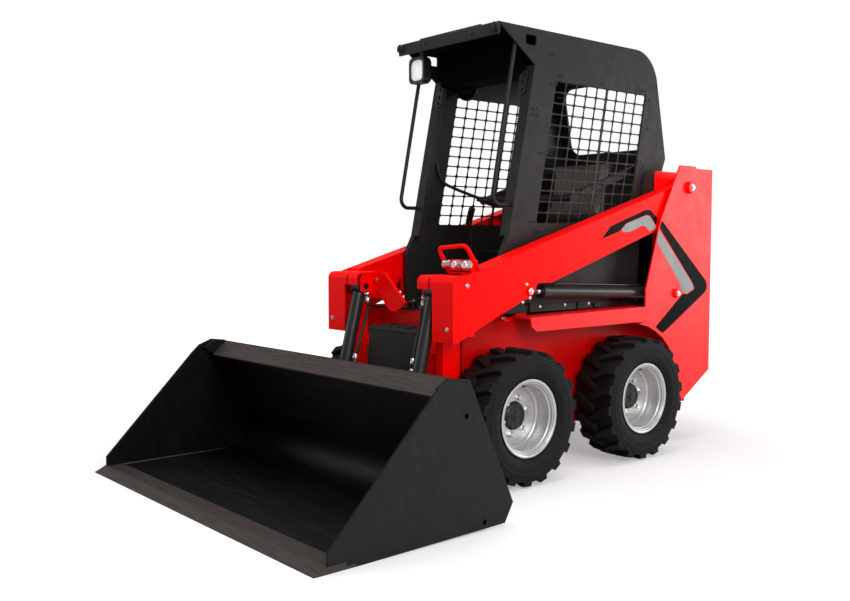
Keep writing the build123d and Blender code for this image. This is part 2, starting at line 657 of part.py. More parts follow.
# --- Cab ---------------------------------------------------------------------------------------------
cab_sheet = 8.0
cab_low = 745.0
roof_z = 1979.0
cab_tail = tail_reach - 242     # the rear shoulder
shoulder_z = 1457.0
bar_pivot = (cab_tail - 186, 1400.0)
pillar_lean = 0.21
pillar_foot = (104.0, 1060.0)
rear_lean = 0.2077
roof_corner = (cab_tail - rear_lean * (roof_z - shoulder_z), roof_z)
roof_corner_r = 178.0
roof_front = 45.0
gusset_z = roof_z - 158
pillar_wide = 58.0
pillar_deep = 33.0
sheet_gap = 2.0             # the panels stand proud of the roof and rear sheets
sheet = 12.0


def pillar_y(z):
    return pillar_foot[0] + pillar_lean * (z - pillar_foot[1])


cab_back = [roof_corner, (cab_tail, shoulder_z), (cab_tail - 31, 1384), (cab_tail - 79, 1293), (cab_tail - 206, 1120)]
cab_outline = [(60, cab_low), (60, 981), pillar_foot, (pillar_y(gusset_z), gusset_z), (roof_front, roof_z - 7),
               (roof_front, roof_z), *cab_back, (cab_tail - 216, cab_low)]
# side window: a sheet with leaning rows of square holes
window_top = roof_z - 215
rows, row_pitch = 13, 50.0
columns, column_pitch = 9, 74.3
mesh_lean = 0.2
mesh_bar = 6.0
thick_bar = 14.0
thick_after = 5             # the thick bar follows this column
mesh_corner = 6.0
window_front = cab_tail - 170 - columns * column_pitch


def mesh_point(across, down):
    """A point of the leaning mesh from its top front corner."""
    return (window_front + across - mesh_lean * down, window_top - down)


def mesh_hole(row, column, x):
    """The wire of one eight-cornered mesh hole at x."""
    left = column * column_pitch + (thick_bar if column == thick_after else mesh_bar) / 2
    right = (column + 1) * column_pitch - (thick_bar if column == thick_after - 1 else mesh_bar) / 2
    high = row * row_pitch + mesh_bar / 2
    low = (row + 1) * row_pitch - mesh_bar / 2
    cut = mesh_corner
    ring = [(left + cut, high), (right - cut, high), (right, high + cut), (right, low - cut),
            (right - cut, low), (left + cut, low), (left, low - cut), (left, high + cut)]
    return Wire.make_polygon([Vector(place(x, mesh_point(*corner))) for corner in ring], close=True)


window = [mesh_point(0, 0), mesh_point(columns * column_pitch, 0),
          mesh_point(columns * column_pitch, rows * row_pitch), mesh_point(0, rows * row_pitch)]
gusset_hole = (238.0, roof_z - 54)
with BuildPart() as cab_side_left:
    with BuildSketch(side_plane(cab_half - cab_sheet)) as panel:
        with BuildLine():
            Polyline(*cab_outline, close=True)
        make_face()
        fillet(panel.vertices().sort_by_distance((*roof_corner, 0))[0], roof_corner_r)
        with BuildLine():
            Polyline(*window, close=True)
        make_face(mode=Mode.SUBTRACT)
        with Locations(gusset_hole):
            RectangleRounded(68, 44, 8, mode=Mode.SUBTRACT)
    extrude(amount=cab_sheet)
    mesh_x = cab_half - cab_sheet
    mesh_sheet = outline(window, mesh_x).faces()[0].make_holes(
        [mesh_hole(row, column, mesh_x) for row in range(rows) for column in range(columns)])
    extrude(mesh_sheet, amount=4, dir=(1, 0, 0))
    extrude(disc(bar_pivot, 8, 250), cab_half - 250 - 1)
    # the front pillar's flange, turned inwards, and the fold of the lower panel
    extrude(outline([pillar_foot, (pillar_y(gusset_z), gusset_z), (pillar_y(gusset_z) + 8, gusset_z),
                     (pillar_foot[0] + 8, pillar_foot[1])], cab_half - pillar_wide), pillar_wide)
    extrude(outline([pillar_foot, (pillar_y(gusset_z), gusset_z), (pillar_y(gusset_z) + pillar_deep, gusset_z),
                     (pillar_foot[0] + pillar_deep, pillar_foot[1])], cab_half - pillar_wide), 6)
    # doubler that shows above the arm, in front of the tower's inner plate
    extrude(rounded([(inner_front - 98, 1150), (inner_front - 98, inner_top), (inner_front - 2, inner_top),
                     (inner_front - 2, 1150)], cab_half - 1, corners=[(1, 84)]), 12)
    extrude(outline([(60, cab_low + 8.3), (60, 981), pillar_foot, (pillar_foot[0] + 8, pillar_foot[1]), (68, 979),
                     (68, cab_low + 8.3)], cab_half - 26), 26)
    # the joint line between the two sheets of the side panel
    seam_foot = mesh_point(thick_after * column_pitch, -4)
    extrude(outline([(seam_foot[0] - 1, seam_foot[1]), (seam_foot[0] + 1, seam_foot[1]), (seam_foot[0] + 40, roof_z - 4),
                     (seam_foot[0] + 38, roof_z - 4)], cab_half - 1.5), 3, mode=Mode.SUBTRACT)
save(cab_side_left.part, "cab_side_left")
with BuildPart() as cab_side_right:
    mirror(cab_side_left.part, about=Plane.YZ)
save(cab_side_right.part, "cab_side_right")

inside = cab_half - cab_sheet
sheet_path = beside([(roof_front - 9, roof_z), *cab_back], sheet_gap + sheet / 2)
split_z = roof_z - 146
split = (sheet_path[1][0] + rear_lean * (sheet_path[1][1] - split_z), split_z)
roof_under = roof_z - sheet_gap - sheet
console_low = roof_z - 186
with BuildPart() as cab_roof:
    with BuildSketch(side_plane(-inside)):
        with BuildLine():
            FilletPolyline(sheet_path[0], sheet_path[1], split, radius=roof_corner_r - sheet_gap - sheet / 2)
        trace(line_width=sheet)
    extrude(amount=2 * inside)
    # visor across the whole front, raised panel on top, console under the roof
    visor = [(30, roof_z - 54), (30, roof_z - 4), (34, roof_z), (roof_front - 0.5, roof_z),
             (roof_front - 0.5, roof_z - 46), (38, roof_z - 54)]
    extrude(outline(visor, -cab_half), 2 * cab_half)
    extrude(outline([(48, roof_z - 4), (51, roof_z + 11), (840, roof_z + 11), (850, roof_z - 4)], -205), 410)
    extrude(outline([(262, roof_under + 1), (250, console_low + 12), (262, console_low), (378, console_low),
                     (390, roof_under + 1)], -276), 552)
    rear_window = (540.0, 353.0)
    with BuildSketch(Plane.XZ.offset(-(front_axle_y + cab_tail + 60))) as pane:
        with Locations((0, roof_z - 290)):
            RectangleRounded(*rear_window, 60)
    extrude(amount=300, mode=Mode.SUBTRACT)
save(cab_roof.part, "cab_roof")

rear_top = (split[0] + 0.06, split[1] - seat_gap)
with BuildPart() as cab_rear:
    with BuildSketch(side_plane(-inside)):
        with BuildLine():
            FilletPolyline(rear_top, *sheet_path[2:], radius=9)
        trace(line_width=sheet)
    extrude(amount=2 * inside)
    extrude(pane.sketch, amount=300, mode=Mode.SUBTRACT)
save(cab_rear.part, "cab_rear")

cab_room = cab_tail - 216       # the floor's rear edge
seat_base_z = 988.0
seat_front = cab_room - 420
with BuildPart() as cab_floor:
    extrude(outline([(60, cab_low), (cab_room, cab_low), (cab_room, cab_low + 8), (60, cab_low + 8)],
                    -inside), 2 * inside)
    extrude(outline([(seat_front - 50, cab_low + 8), (seat_front - 50, seat_base_z - 8), (seat_front - 42, seat_base_z),
                     (cab_room - 1, seat_base_z), (cab_room - 1, cab_low + 8)], -inside), 2 * inside)
    # foot plate over the front panel, with its side folds
    extrude(outline([(tub_front + 2, front_top + seat_gap), (62, front_top + seat_gap), (62, cab_low + 8), (54, cab_low + 8),
                     (54, front_top + 8), (tub_front + 2, front_top + 8)], -inside), 2 * inside)
    for fold_x in (-inside, inside - plate):
        extrude(outline([(tub_front + plate + 2, sill_z + 2), (54, sill_z + 2), (54, front_top + 4),
                         (tub_front + plate + 2, front_top + 4)], fold_x), plate)
save(cab_floor.part, "cab_floor")

with BuildPart() as seat:
    extrude(outline([(seat_front + 10, seat_base_z + seat_gap), (seat_front, 1080), (seat_front + 30, 1110),
                     (seat_front + 290, 1095), (seat_front + 375, 1480), (seat_front + 425, 1480),
                     (seat_front + 375, 1100), (seat_front + 370, seat_base_z + seat_gap)], -230, radius=8), 460)
save(seat.part, "seat")

bar_front = (bar_pivot[0] - 500, bar_pivot[1] - 160)
with BuildPart() as seat_bar:
    for side in (-1, 1):
        extrude(strut(bar_pivot, bar_front, 34, 34, side * 290 - 15), 30)
    with BuildSketch(side_plane(-275)):
        with Locations(bar_front):
            Circle(17)
    extrude(amount=550)
    extrude(disc(bar_pivot, 8 + pin_gap, -400), 800, mode=Mode.SUBTRACT)
save(seat_bar.part, "seat_bar")

# two drive levers beside the knees, each on its own pedestal
lever_x = 200.0
lever_y = seat_front - 226
pedestal_low = cab_low + 8 + seat_gap
with BuildPart() as control_levers:
    for side in (-1, 1):
        extrude(outline([(lever_y - 54, pedestal_low), (lever_y - 39, 880), (lever_y + 46, 880),
                         (lever_y + 66, pedestal_low)], side * lever_x - 35), 70)
        add(tube_along([place(side * lever_x, (lever_y + 4, 870)), place(side * lever_x, (lever_y, 1060)),
                        place(side * lever_x, (lever_y - 12, 1130))], 8, 30))
        add(tube_along([place(side * (lever_x + 16), (lever_y - 4, 1120)), place(side * lever_x, (lever_y - 12, 1150)),
                        place(side * (lever_x - 34), (lever_y - 28, 1194))], 16.5, 20))
save(control_levers.part, "control_levers")

handle_x = 316.0
handle_r = 9.0
handle_low = 1196.0
handle_lean = 0.2
with BuildPart() as grab_handles:
    for side in (-1, 1):
        low_front = (16.0, handle_low)
        top = (low_front[0] + handle_lean * (roof_under - seat_gap - handle_low), roof_under - seat_gap)
        add(tube_along([place(side * handle_x, (pillar_y(handle_low - handle_r) - seat_gap, handle_low)),
                        place(side * handle_x, low_front), place(side * handle_x, top)], handle_r, 42))
    # the ends are cut flush with the roof and the pillars
    with Locations(place(0, (low_front[0], roof_under - seat_gap + 20))):
        Box(1000, 600, 40, mode=Mode.SUBTRACT)
save(grab_handles.part, "grab_handles")

lamp_centre = (-255.0, 1852.0)
lamp_front = 70.0
with BuildPart() as work_lamp:
    with BuildSketch(Plane.XZ.offset(-(front_axle_y + lamp_front))):
        with Locations(lamp_centre):
            RectangleRounded(112, 125, 26)
    extrude(amount=-44)
    with BuildSketch(Plane.XZ.offset(-(front_axle_y + lamp_front + 44))):
        with Locations(lamp_centre):
            RectangleRounded(112, 125, 26)
    extrude(amount=-14, taper=40)
    with BuildSketch(Plane.XZ.offset(-(front_axle_y + lamp_front))):
        with Locations(lamp_centre):
            RectangleRounded(88, 100, 18)
    extrude(amount=-5, mode=Mode.SUBTRACT)
    extrude(outline([(lamp_front + 34, lamp_centre[1] + 30), (lamp_front + 34, roof_under - seat_gap),
                     (lamp_front + 42, roof_under - seat_gap), (lamp_front + 42, lamp_centre[1] + 30)],
                    lamp_centre[0] - 16), 32)
save(work_lamp.part, "work_lamp")
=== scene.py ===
# %% [markdown]
# # A compact skid steer loader
# The machine is a steel tub on four equal wheels, two towers behind a narrow cab, straight lift
# arms outside it and a wide bucket in front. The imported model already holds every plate, pin and
# wheel at its real size, so this notebook gives them their finishes and adds what is too fine
# for the solids: tread blocks, nuts, hoses, stripes, upholstery and lenses.

import math

import bmesh
import bpy
import numpy as np
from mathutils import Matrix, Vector


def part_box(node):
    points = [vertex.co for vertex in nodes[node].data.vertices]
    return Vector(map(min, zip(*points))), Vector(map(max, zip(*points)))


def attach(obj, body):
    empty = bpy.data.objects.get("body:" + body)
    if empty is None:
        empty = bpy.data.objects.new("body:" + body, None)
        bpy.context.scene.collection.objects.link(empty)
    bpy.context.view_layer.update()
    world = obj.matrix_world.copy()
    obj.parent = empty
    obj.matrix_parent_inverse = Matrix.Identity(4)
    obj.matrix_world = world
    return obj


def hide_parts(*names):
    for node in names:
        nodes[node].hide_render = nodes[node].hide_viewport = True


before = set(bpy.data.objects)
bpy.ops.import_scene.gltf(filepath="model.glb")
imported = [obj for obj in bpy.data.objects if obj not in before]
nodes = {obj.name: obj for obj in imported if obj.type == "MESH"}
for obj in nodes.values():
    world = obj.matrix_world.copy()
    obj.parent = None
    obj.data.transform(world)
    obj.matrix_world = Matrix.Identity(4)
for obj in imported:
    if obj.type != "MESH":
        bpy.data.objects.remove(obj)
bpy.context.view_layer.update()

# %% [markdown]
# Most pieces are placed from a few datum points of the machine: the two axles, the arms' pivot
# line and the ground. The axles are read from the imported nodes and the pivots are given as
# distances from the front axle, so a piece stays in its place when the model is changed and
# packed again.

# %% Datum points
def node_centre(name):
    """Middle of a node's box, as a numpy point in metres."""
    low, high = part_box(name)
    return (np.array(low) + np.array(high)) / 2


front_axle = node_centre("hub_front_left")
axle_y = front_axle[1]
hands = ((1, "left"), (-1, "right"))
# pivots as (behind the front axle, height) in mm, and the lift cylinders' x
arm_pivot, lift_base, lift_eye, rod_pin = (1285, 1306), (1184, 771), (131.6, 817), (131.6, 818)
lift_x = 398.5
print("front axle at y =", round(axle_y, 4), "height", round(front_axle[2], 4))


def side_point(x, behind, height):
    """A point in metres from millimetres: x, distance behind the front axle, height above ground."""
    return np.array([x / 1000, axle_y + behind / 1000, height / 1000])


# %% [markdown]
# Colours are easiest to choose as sRGB hex values, but shaders add light in linear numbers, so
# one function turns each value. A second one adds a shader node, sets its sockets and links it,
# which keeps each material down to the few lines that matter.

# %% Colour and node helpers
def linear(hex_colour):
    """sRGB hex to linear red, green, blue and alpha 1, by the sRGB curve."""
    values = np.array([int(hex_colour[i : i + 2], 16) / 255 for i in (1, 3, 5)])
    low = values / 12.92
    high = ((values + 0.055) / 1.055) ** 2.4
    return (*np.where(values <= 0.04045, low, high), 1.0)


def feed(tree, node, sockets):
    """Give inputs of a node a value or link them to an output; _ in a name stands for a space."""
    for key, value in sockets.items():
        socket = node.inputs[key.replace("_", " ") if isinstance(key, str) else key]
        if isinstance(value, bpy.types.NodeSocket):
            tree.links.new(value, socket)
        else:
            socket.default_value = value


def add_node(tree, kind, sockets=None, **settings):
    """Add a shader node; settings are its properties, sockets maps an input to a value or an output."""
    node = tree.nodes.new(kind)
    for name, value in settings.items():
        setattr(node, name, value)
    feed(tree, node, sockets or {})
    return node


def new_material(name, **principled):
    """A material with its Principled shader set from socket names; returns material, tree and shader."""
    material = bpy.data.materials.new(name)
    material.use_nodes = True
    shader = material.node_tree.nodes["Principled BSDF"]
    feed(material.node_tree, shader, principled)
    return material, material.node_tree, shader


def object_place(tree):
    """The object coordinates of the surface, in metres."""
    return add_node(tree, "ShaderNodeTexCoord").outputs["Object"]


def object_noise(tree, size_mm, detail=3.0):
    """Noise on object coordinates whose blobs are about size_mm across, as its Factor output."""
    sockets = {"Vector": object_place(tree), "Scale": 1000 / size_mm, "Detail": detail, "Roughness": 0.55}
    return add_node(tree, "ShaderNodeTexNoise", sockets).outputs["Fac"]


def spread(tree, factor, low, high, new_low, new_high):
    """Map Range: factor between low and high becomes new_low to new_high."""
    sockets = {"Value": factor, "From Min": low, "From Max": high, "To Min": new_low, "To Max": new_high}
    return add_node(tree, "ShaderNodeMapRange", sockets).outputs["Result"]


def mix_colour(tree, factor, first, second):
    """Mix two colours, given as hex values or outputs."""
    node = add_node(tree, "ShaderNodeMix", {"Factor": factor}, data_type="RGBA")
    for key, value in (("A", first), ("B", second)):
        socket = [s for s in node.inputs if s.name == key and s.type == "RGBA"][0]
        if isinstance(value, str):
            socket.default_value = linear(value)
        else:
            tree.links.new(value, socket)
    return [s for s in node.outputs if s.type == "RGBA"][0]


def bump(tree, height, depth_mm, normal=None):
    """A bump of depth_mm from a height output between 0 and 1."""
    sockets = {"Height": height, "Distance": depth_mm / 1000, "Strength": 1.0}
    if normal is not None:
        sockets["Normal"] = normal
    return add_node(tree, "ShaderNodeBump", sockets).outputs["Normal"]


def soft_edges(tree, radius_mm):
    """A shading normal that rounds a plate's edges by radius_mm, as a paint film does."""
    return add_node(tree, "ShaderNodeBevel", {"Radius": radius_mm / 1000}, samples=6).outputs["Normal"]


# %% [markdown]
# Most finishes are one even coat. What tells them apart to the eye is how far the colour
# wanders, how sharp the highlights are and how coarse the skin is, so one function takes those
# three as noises of a given size. It also rounds the shading at each edge, as a film of paint
# does.

# %% Even coats
def even_coat(name, dark, light, tone, rough, skin, edge_mm=None, **principled):
    """An even coat whose colour, roughness and bump each follow a noise of their own.

    tone is a size in mm or (size, detail, from, to); rough is one value or (size in mm, lowest,
    highest); skin is (size in mm, detail, depth in mm); edge_mm is the radius of the edges.
    """
    material, tree, shader = new_material(name, **principled)
    size, detail, start, end = tone if isinstance(tone, tuple) else (tone, 3.0, 0.3, 0.7)
    mix = spread(tree, object_noise(tree, size, detail), start, end, 0.0, 1.0)
    if isinstance(rough, tuple):
        rough = spread(tree, object_noise(tree, rough[0]), 0.3, 0.7, *rough[1:])
    size, detail, depth_mm = skin
    normal = bump(tree, object_noise(tree, size, detail), depth_mm, soft_edges(tree, edge_mm) if edge_mm else None)
    feed(tree, shader, {"Base Color": mix_colour(tree, mix, dark, light), "Roughness": rough, "Normal": normal})
    return material


def red_powder_coat(name, gloss, tint, dark="#F70202", light="#FF0403"):
    """Red polyester powder coat on steel plate; gloss is how strongly it mirrors, tint how palely."""
    return even_coat(name, dark, light, 220, (60, 0.36, 0.44), (4.0, 1.0, 0.03), 1.6, IOR=1.5,
                Specular_IOR_Level=gloss, Specular_Tint=(1.0, tint, tint, 1.0))


# %% [markdown]
# The bucket is thick plate in satin black. It is handled by forks and chains before it is ever
# used, so the coat shows faint long scuffs that change its gloss more than its colour. Inside
# the side plates the colour is painted nearly black as painted shade, for the shade in the bucket.

# %% Bucket black
def bucket_black():
    """Satin black paint with faint scuffs, nearly black inside the side plates as painted shade."""
    material, tree, shader = new_material("bucket_black", IOR=1.5, Specular_IOR_Level=0.22)
    place = object_place(tree)
    stretch = add_node(tree, "ShaderNodeMapping", {"Vector": place, "Scale": (3, 40, 14)})
    scuff = add_node(tree, "ShaderNodeTexNoise", {"Vector": stretch.outputs["Vector"], "Scale": 1.0, "Detail": 6.0})
    marks = spread(tree, scuff.outputs["Fac"], 0.52, 0.72, 0.0, 1.0)
    across = add_node(tree, "ShaderNodeSeparateXYZ", {"Vector": place}).outputs["X"]
    width = add_node(tree, "ShaderNodeMath", {0: across}, operation="ABSOLUTE").outputs["Value"]
    # painted shade: inside the side plates' outer faces the paint and the scuffs are nearly black, for the shade that
    # falls into the bucket
    outer_face = 0.8785
    outside_vs_painted_shade = add_node(tree, "ShaderNodeMath", {0: width, 1: outer_face}, operation="GREATER_THAN").outputs["Value"]
    paint = mix_colour(tree, outside_vs_painted_shade, "#020202", "#171717")
    scuffed_with_painted_shade = mix_colour(tree, outside_vs_painted_shade, "#070707", "#1E1E1E")
    skin = bump(tree, object_noise(tree, 3.0, detail=2.0), 0.05, soft_edges(tree, 1.5))
    feed(tree, shader, {"Base Color": mix_colour(tree, marks, paint, scuffed_with_painted_shade), "Normal": skin,
                        "Roughness": spread(tree, scuff.outputs["Fac"], 0.3, 0.7, 0.42, 0.52)})
    return material


# %% [markdown]
# The cutting edge and the bucket's lip are bare hardened steel, hot rolled, with brown mill
# scale that has started to rub off along the working edge.

# %% Bare hardened steel
def mill_scale_steel():
    """Hot-rolled hardened steel with brownish mill scale."""
    material, tree, shader = new_material("mill_scale_steel", Metallic=0.35)
    along = add_node(tree, "ShaderNodeMapping", {"Vector": object_place(tree), "Scale": (9, 160, 160)})
    sockets = {"Vector": along.outputs["Vector"], "Scale": 1.0, "Detail": 8.0}
    rolled = add_node(tree, "ShaderNodeTexNoise", sockets).outputs["Fac"]
    tone = spread(tree, rolled, 0.35, 0.68, 0.0, 1.0)
    feed(tree, shader, {"Base Color": mix_colour(tree, tone, "#372D2B", "#4B4340"),
                        "Roughness": spread(tree, rolled, 0.3, 0.7, 0.5, 0.36),
                        "Normal": bump(tree, rolled, 0.15, soft_edges(tree, 1.0))})
    return material


# %% [markdown]
# The rods are hard chrome plated and ground, a mirror with the faintest haze. The seat's vinyl
# has a leather-like grain about 2 mm across that shows where light grazes it, and the lamp's
# lens has prisms of a larger size; both are skins of small cells.

# %% Chrome and skins of cells
def hard_chrome():
    """Ground hard chrome plate."""
    material, tree, shader = new_material("hard_chrome", Metallic=1.0, Base_Color=linear("#C9CACB"))
    feed(tree, shader, {"Roughness": spread(tree, object_noise(tree, 8.0), 0.3, 0.7, 0.08, 0.16)})
    return material


def cells(name, dark, light, scale, to, depth_mm, **principled):
    """A skin of small cells that turns from dark to light at a distance `to` from their middles."""
    material, tree, shader = new_material(name, **principled)
    sockets = {"Vector": object_place(tree), "Scale": scale}
    distance = add_node(tree, "ShaderNodeTexVoronoi", sockets).outputs["Distance"]
    tone = spread(tree, distance, 0.0, to, 0.0, 1.0)
    feed(tree, shader, {"Base Color": mix_colour(tree, tone, dark, light), "Normal": bump(tree, distance, depth_mm)})
    return material


# %% Finishes of the imported nodes
# The powder coats on the large plates catch the eye by their soft highlights: weak and red on
# the arms and the tub, paler and stronger on the towers' flat sides. The tub's red is also
# painted darker than the rest, as painted shade. The cab's charcoal is warmer and duller, and a
# fine grain breaks up its highlights. Rims are silver-grey enamel, slightly metallic; hubs and
# pins black iron with a cast skin; the tyres carbon-black rubber with moulding grain and a
# little grey bloom; barrels dark grey enamel; the engine has an oily film.
finishes = {
    "red": red_powder_coat("red_powder_coat_satin", 0.12, 0.25),
    "glossy red": red_powder_coat("red_powder_coat_glossy", 0.42, 0.8),
    # painted shade: the tub's red is darker than the other reds, for the shade on the tub's walls
    "tub red in painted shade": red_powder_coat("red_powder_coat_tub_painted_shade", 0.2, 0.25, "#B80303", "#CC0505"),
    "charcoal": even_coat("charcoal_powder_coat", "#1D1B1A", "#252321", 160, (45, 0.44, 0.54), (2.2, 2.0, 0.05),
                          1.4, IOR=1.5, Specular_IOR_Level=0.22),
    "bucket": bucket_black(),
    "bare steel": mill_scale_steel(),
    "silver": even_coat("silver_enamel", "#C4C3C1", "#D0CFCD", 40, (18, 0.3, 0.36), (2.5, 3.0, 0.01), 1.0,
                        Metallic=0.6, IOR=1.5),
    "black iron": even_coat("black_iron", "#0B0B0B", "#131313", 20, (12, 0.36, 0.5), (1.8, 4.0, 0.12), 0.8, IOR=1.5),
    "rubber": even_coat("tyre_rubber", "#070606", "#0D0C0C", (35, 5.0, 0.4, 0.75), (15, 0.58, 0.74),
                        (1.6, 3.0, 0.12), 1.5, IOR=1.52, Specular_IOR_Level=0.22),
    "cylinder": even_coat("cylinder_grey", "#191A1A", "#232424", 30, 0.34, (3.0, 3.0, 0.03), 1.2, IOR=1.5),
    "chrome": hard_chrome(),
    "vinyl": cells("seat_vinyl", "#453F3A", "#554E47", 450.0, 0.6, 0.25, IOR=1.5, Roughness=0.5),
    "engine": even_coat("engine_grey", "#1B1B1B", "#2C2B2A", (50, 6.0, 0.35, 0.7), (25, 0.35, 0.6),
                        (3.0, 3.0, 0.1), 2.0, IOR=1.5),
}
node_finish = {
    "tub red in painted shade": ["chassis_tub"],
    "red": ["arm_left", "arm_right", "arm_crossmember", "coupler_block", "arm_lock"],
    "glossy red": ["decks", "tower_left", "tower_right", "hood", "chassis_pins"],
    "charcoal": ["cab_side_left", "cab_side_right", "cab_roof", "cab_rear", "cab_floor", "rear_door",
                 "step_box", "seat_bar", "grab_handles", "control_levers"],
    "bucket": ["bucket_shell", "attach_frame"],
    "bare steel": ["cutting_edge", "bucket_lip"],
    "black iron": ["axle_housings", "arm_pins", "work_lamp"],
    "cylinder": ["lift_barrels", "tilt_barrels"],
    "chrome": ["lift_rods", "tilt_rods"],
    "vinyl": ["seat"],
    "engine": ["engine_block", "radiator"],
}
red, iron = finishes["red"], finishes["black iron"]
wheel_names = [f"{axle}_{side}" for axle in ("front", "rear") for side in ("left", "right")]
for wheel in wheel_names:
    node_finish.setdefault("rubber", []).append(f"tyre_{wheel}")
    node_finish.setdefault("silver", []).append(f"rim_{wheel}")
    node_finish["black iron"].append(f"hub_{wheel}")


def dress(obj, material):
    """Give the whole object one material."""
    obj.data.materials.clear()
    obj.data.materials.append(material)


for finish, names in node_finish.items():
    for name in names:
        dress(nodes[name], finishes[finish])
undressed = set(nodes) - {name for names in node_finish.values() for name in names}
print("nodes without a finish:", sorted(undressed))

# %% [markdown]
# ## Building surfaces
# Every added piece is a surface worked out with whole numpy arrays: a profile turned about an
# axle, a circle carried along a path, or an outline given a thickness. The helpers below turn
# such grids of points into meshes whose faces look outwards, and tie each piece to the body of
# the machine that it moves with.

# %% Mesh helpers
def place_mesh(name, mesh, material=None, body=None):
    """A new object of a mesh, with one material and tied to a body of the machine if they are given."""
    obj = bpy.data.objects.new(name, mesh)
    bpy.context.scene.collection.objects.link(obj)
    if material:
        dress(obj, material)
    if body:
        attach(obj, body)
    return obj


def add_mesh(name, points, faces, material, body, smooth=True, merge=True):
    """A new piece from points in metres and faces, all of them turned to look outwards.

    Points that fall together, as they do at a pole, become one if merge is set.
    """
    mesh = bpy.data.meshes.new(name)
    mesh.from_pydata(np.asarray(points).reshape(-1, 3).tolist(), [], [list(map(int, face)) for face in faces])
    mesh.polygons.foreach_set("use_smooth", np.full(len(mesh.polygons), smooth))
    mesh.update()
    work = bmesh.new()
    work.from_mesh(mesh)
    if merge:
        bmesh.ops.remove_doubles(work, verts=work.verts, dist=1e-6)
    bmesh.ops.recalc_face_normals(work, faces=work.faces)
    work.to_mesh(mesh)
    work.free()
    return place_mesh(name, mesh, material, body)


def grid_faces(rows, columns, wrap_rows=False, wrap_columns=False):
    """Quads of a grid of points numbered row by row; a wrapped direction joins its end to its start."""
    row = np.arange(rows if wrap_rows else rows - 1)[:, None]
    column = np.arange(columns if wrap_columns else columns - 1)[None, :]
    here, across = row * columns + column, row * columns + (column + 1) % columns
    below = (row + 1) % rows * columns + column
    beyond = (row + 1) % rows * columns + (column + 1) % columns
    return np.stack([here, across, beyond, below], axis=-1).reshape(-1, 4).tolist()


def joined(parts):
    """Points and faces of several (points, faces) as one, with each part's faces shifted to its points."""
    starts = np.cumsum([0] + [len(points) for points, _ in parts])
    faces = [[start + i for i in face] for start, (_, sides) in zip(starts, parts) for face in sides]
    return np.vstack([points for points, _ in parts]), faces


def ring_about(axis, count):
    """A unit circle of count points square to an axis, and the axis made unit length.

    point = cos a u + sin a v, with u and v square to the axis and a from 0 to a full turn.
    """
    n = np.asarray(axis, float)
    n = n / np.linalg.norm(n)
    guide = np.array([0.0, 0.0, 1.0]) if abs(n[2]) < 0.9 else np.array([1.0, 0.0, 0.0])
    u = np.cross(guide, n)
    u = u / np.linalg.norm(u)
    angle = np.arange(count) * 2 * math.pi / count
    return np.cos(angle)[:, None] * u + np.sin(angle)[:, None] * np.cross(n, u), n


def turned(name, profile, centre, axis, material, body, around=48, smooth=True):
    """A profile of (height along the axis, radius) in mm turned about the axis through centre.

    point = centre + height n + radius times the ring; a profile that ends at radius 0 is closed.
    """
    ring, n = ring_about(axis, around)
    height, radius = np.asarray(profile, float).T / 1000
    points = np.asarray(centre) + height[:, None, None] * n + radius[:, None, None] * ring[None]
    return add_mesh(name, points, grid_faces(len(profile), around, wrap_columns=True), material, body, smooth)


def turned_pair(name, profile, point, axis, material, body, around=48, smooth=False):
    """A turned piece at a side_point on the left of the machine, and its mirror on the right."""
    for side, hand in hands:
        centre = side_point(side * point[0], *point[1:])
        turned(f"{name}_{hand}", profile, centre, (side * axis[0], *axis[1:]), material, body, around, smooth)


def eased(corners, before, after, reach_in, reach_out, steps):
    """Corners as quadratic curves that start reach_in along before and end reach_out along after."""
    first = corners + before / np.linalg.norm(before, axis=1)[:, None] * reach_in
    last = corners + after / np.linalg.norm(after, axis=1)[:, None] * reach_out
    t = np.linspace(0, 1, steps)[None, :, None]
    curve = (1 - t) ** 2 * first[:, None] + 2 * t * (1 - t) * corners[:, None] + t**2 * last[:, None]
    return curve.reshape(-1, corners.shape[1])


def eased_path(corners, bend, steps=8):
    """An open path through corner points whose inner corners are eased over a length bend each way."""
    corners = np.asarray(corners, float)
    before, after = corners[:-2] - corners[1:-1], corners[2:] - corners[1:-1]
    reach_in, reach_out = (np.minimum(bend, np.linalg.norm(way, axis=1) * 0.48)[:, None] for way in (before, after))
    return np.vstack([corners[:1], eased(corners[1:-1], before, after, reach_in, reach_out, steps), corners[-1:]])


def rounded_outline(corners, radius, steps=5):
    """A closed flat outline whose corners are eased over a length radius each way."""
    corners = np.asarray(corners, float)
    before, after = np.roll(corners, 1, axis=0) - corners, np.roll(corners, -1, axis=0) - corners
    shorter = np.minimum(np.linalg.norm(before, axis=1), np.linalg.norm(after, axis=1))
    reach = np.minimum(radius, shorter * 0.45)[:, None]
    return eased(corners, before, after, reach, reach, steps)


def tube(path, radius_mm, around=12):
    """Points and faces of a round tube carried along a path, with closed ends.

    At each station the circle stands square to the path; its frame is the path's direction
    crossed with one guide direction that the path never runs along.
    """
    path = np.asarray(path, float)
    tangent = np.gradient(path, axis=0)
    tangent /= np.linalg.norm(tangent, axis=1)[:, None]
    guide = np.array([0.9, 0.35, 0.25])
    side = np.cross(tangent, guide)
    side /= np.linalg.norm(side, axis=1)[:, None]
    up = np.cross(tangent, side)
    angle = np.arange(around) * 2 * math.pi / around
    ring = np.cos(angle)[None, :, None] * side[:, None] + np.sin(angle)[None, :, None] * up[:, None]
    radius = np.broadcast_to(np.asarray(radius_mm, float) / 1000, (len(path),))
    points = path[:, None] + radius[:, None, None] * ring
    ends = [range(around)[::-1], range((len(path) - 1) * around, len(path) * around)]
    return points.reshape(-1, 3), grid_faces(len(path), around, wrap_columns=True) + ends


def tubes(name, routes, material, body, around=12):
    """One piece of several tubes; routes are pairs of path and radius."""
    return add_mesh(name, *joined([tube(*route, around) for route in routes]), material, body)


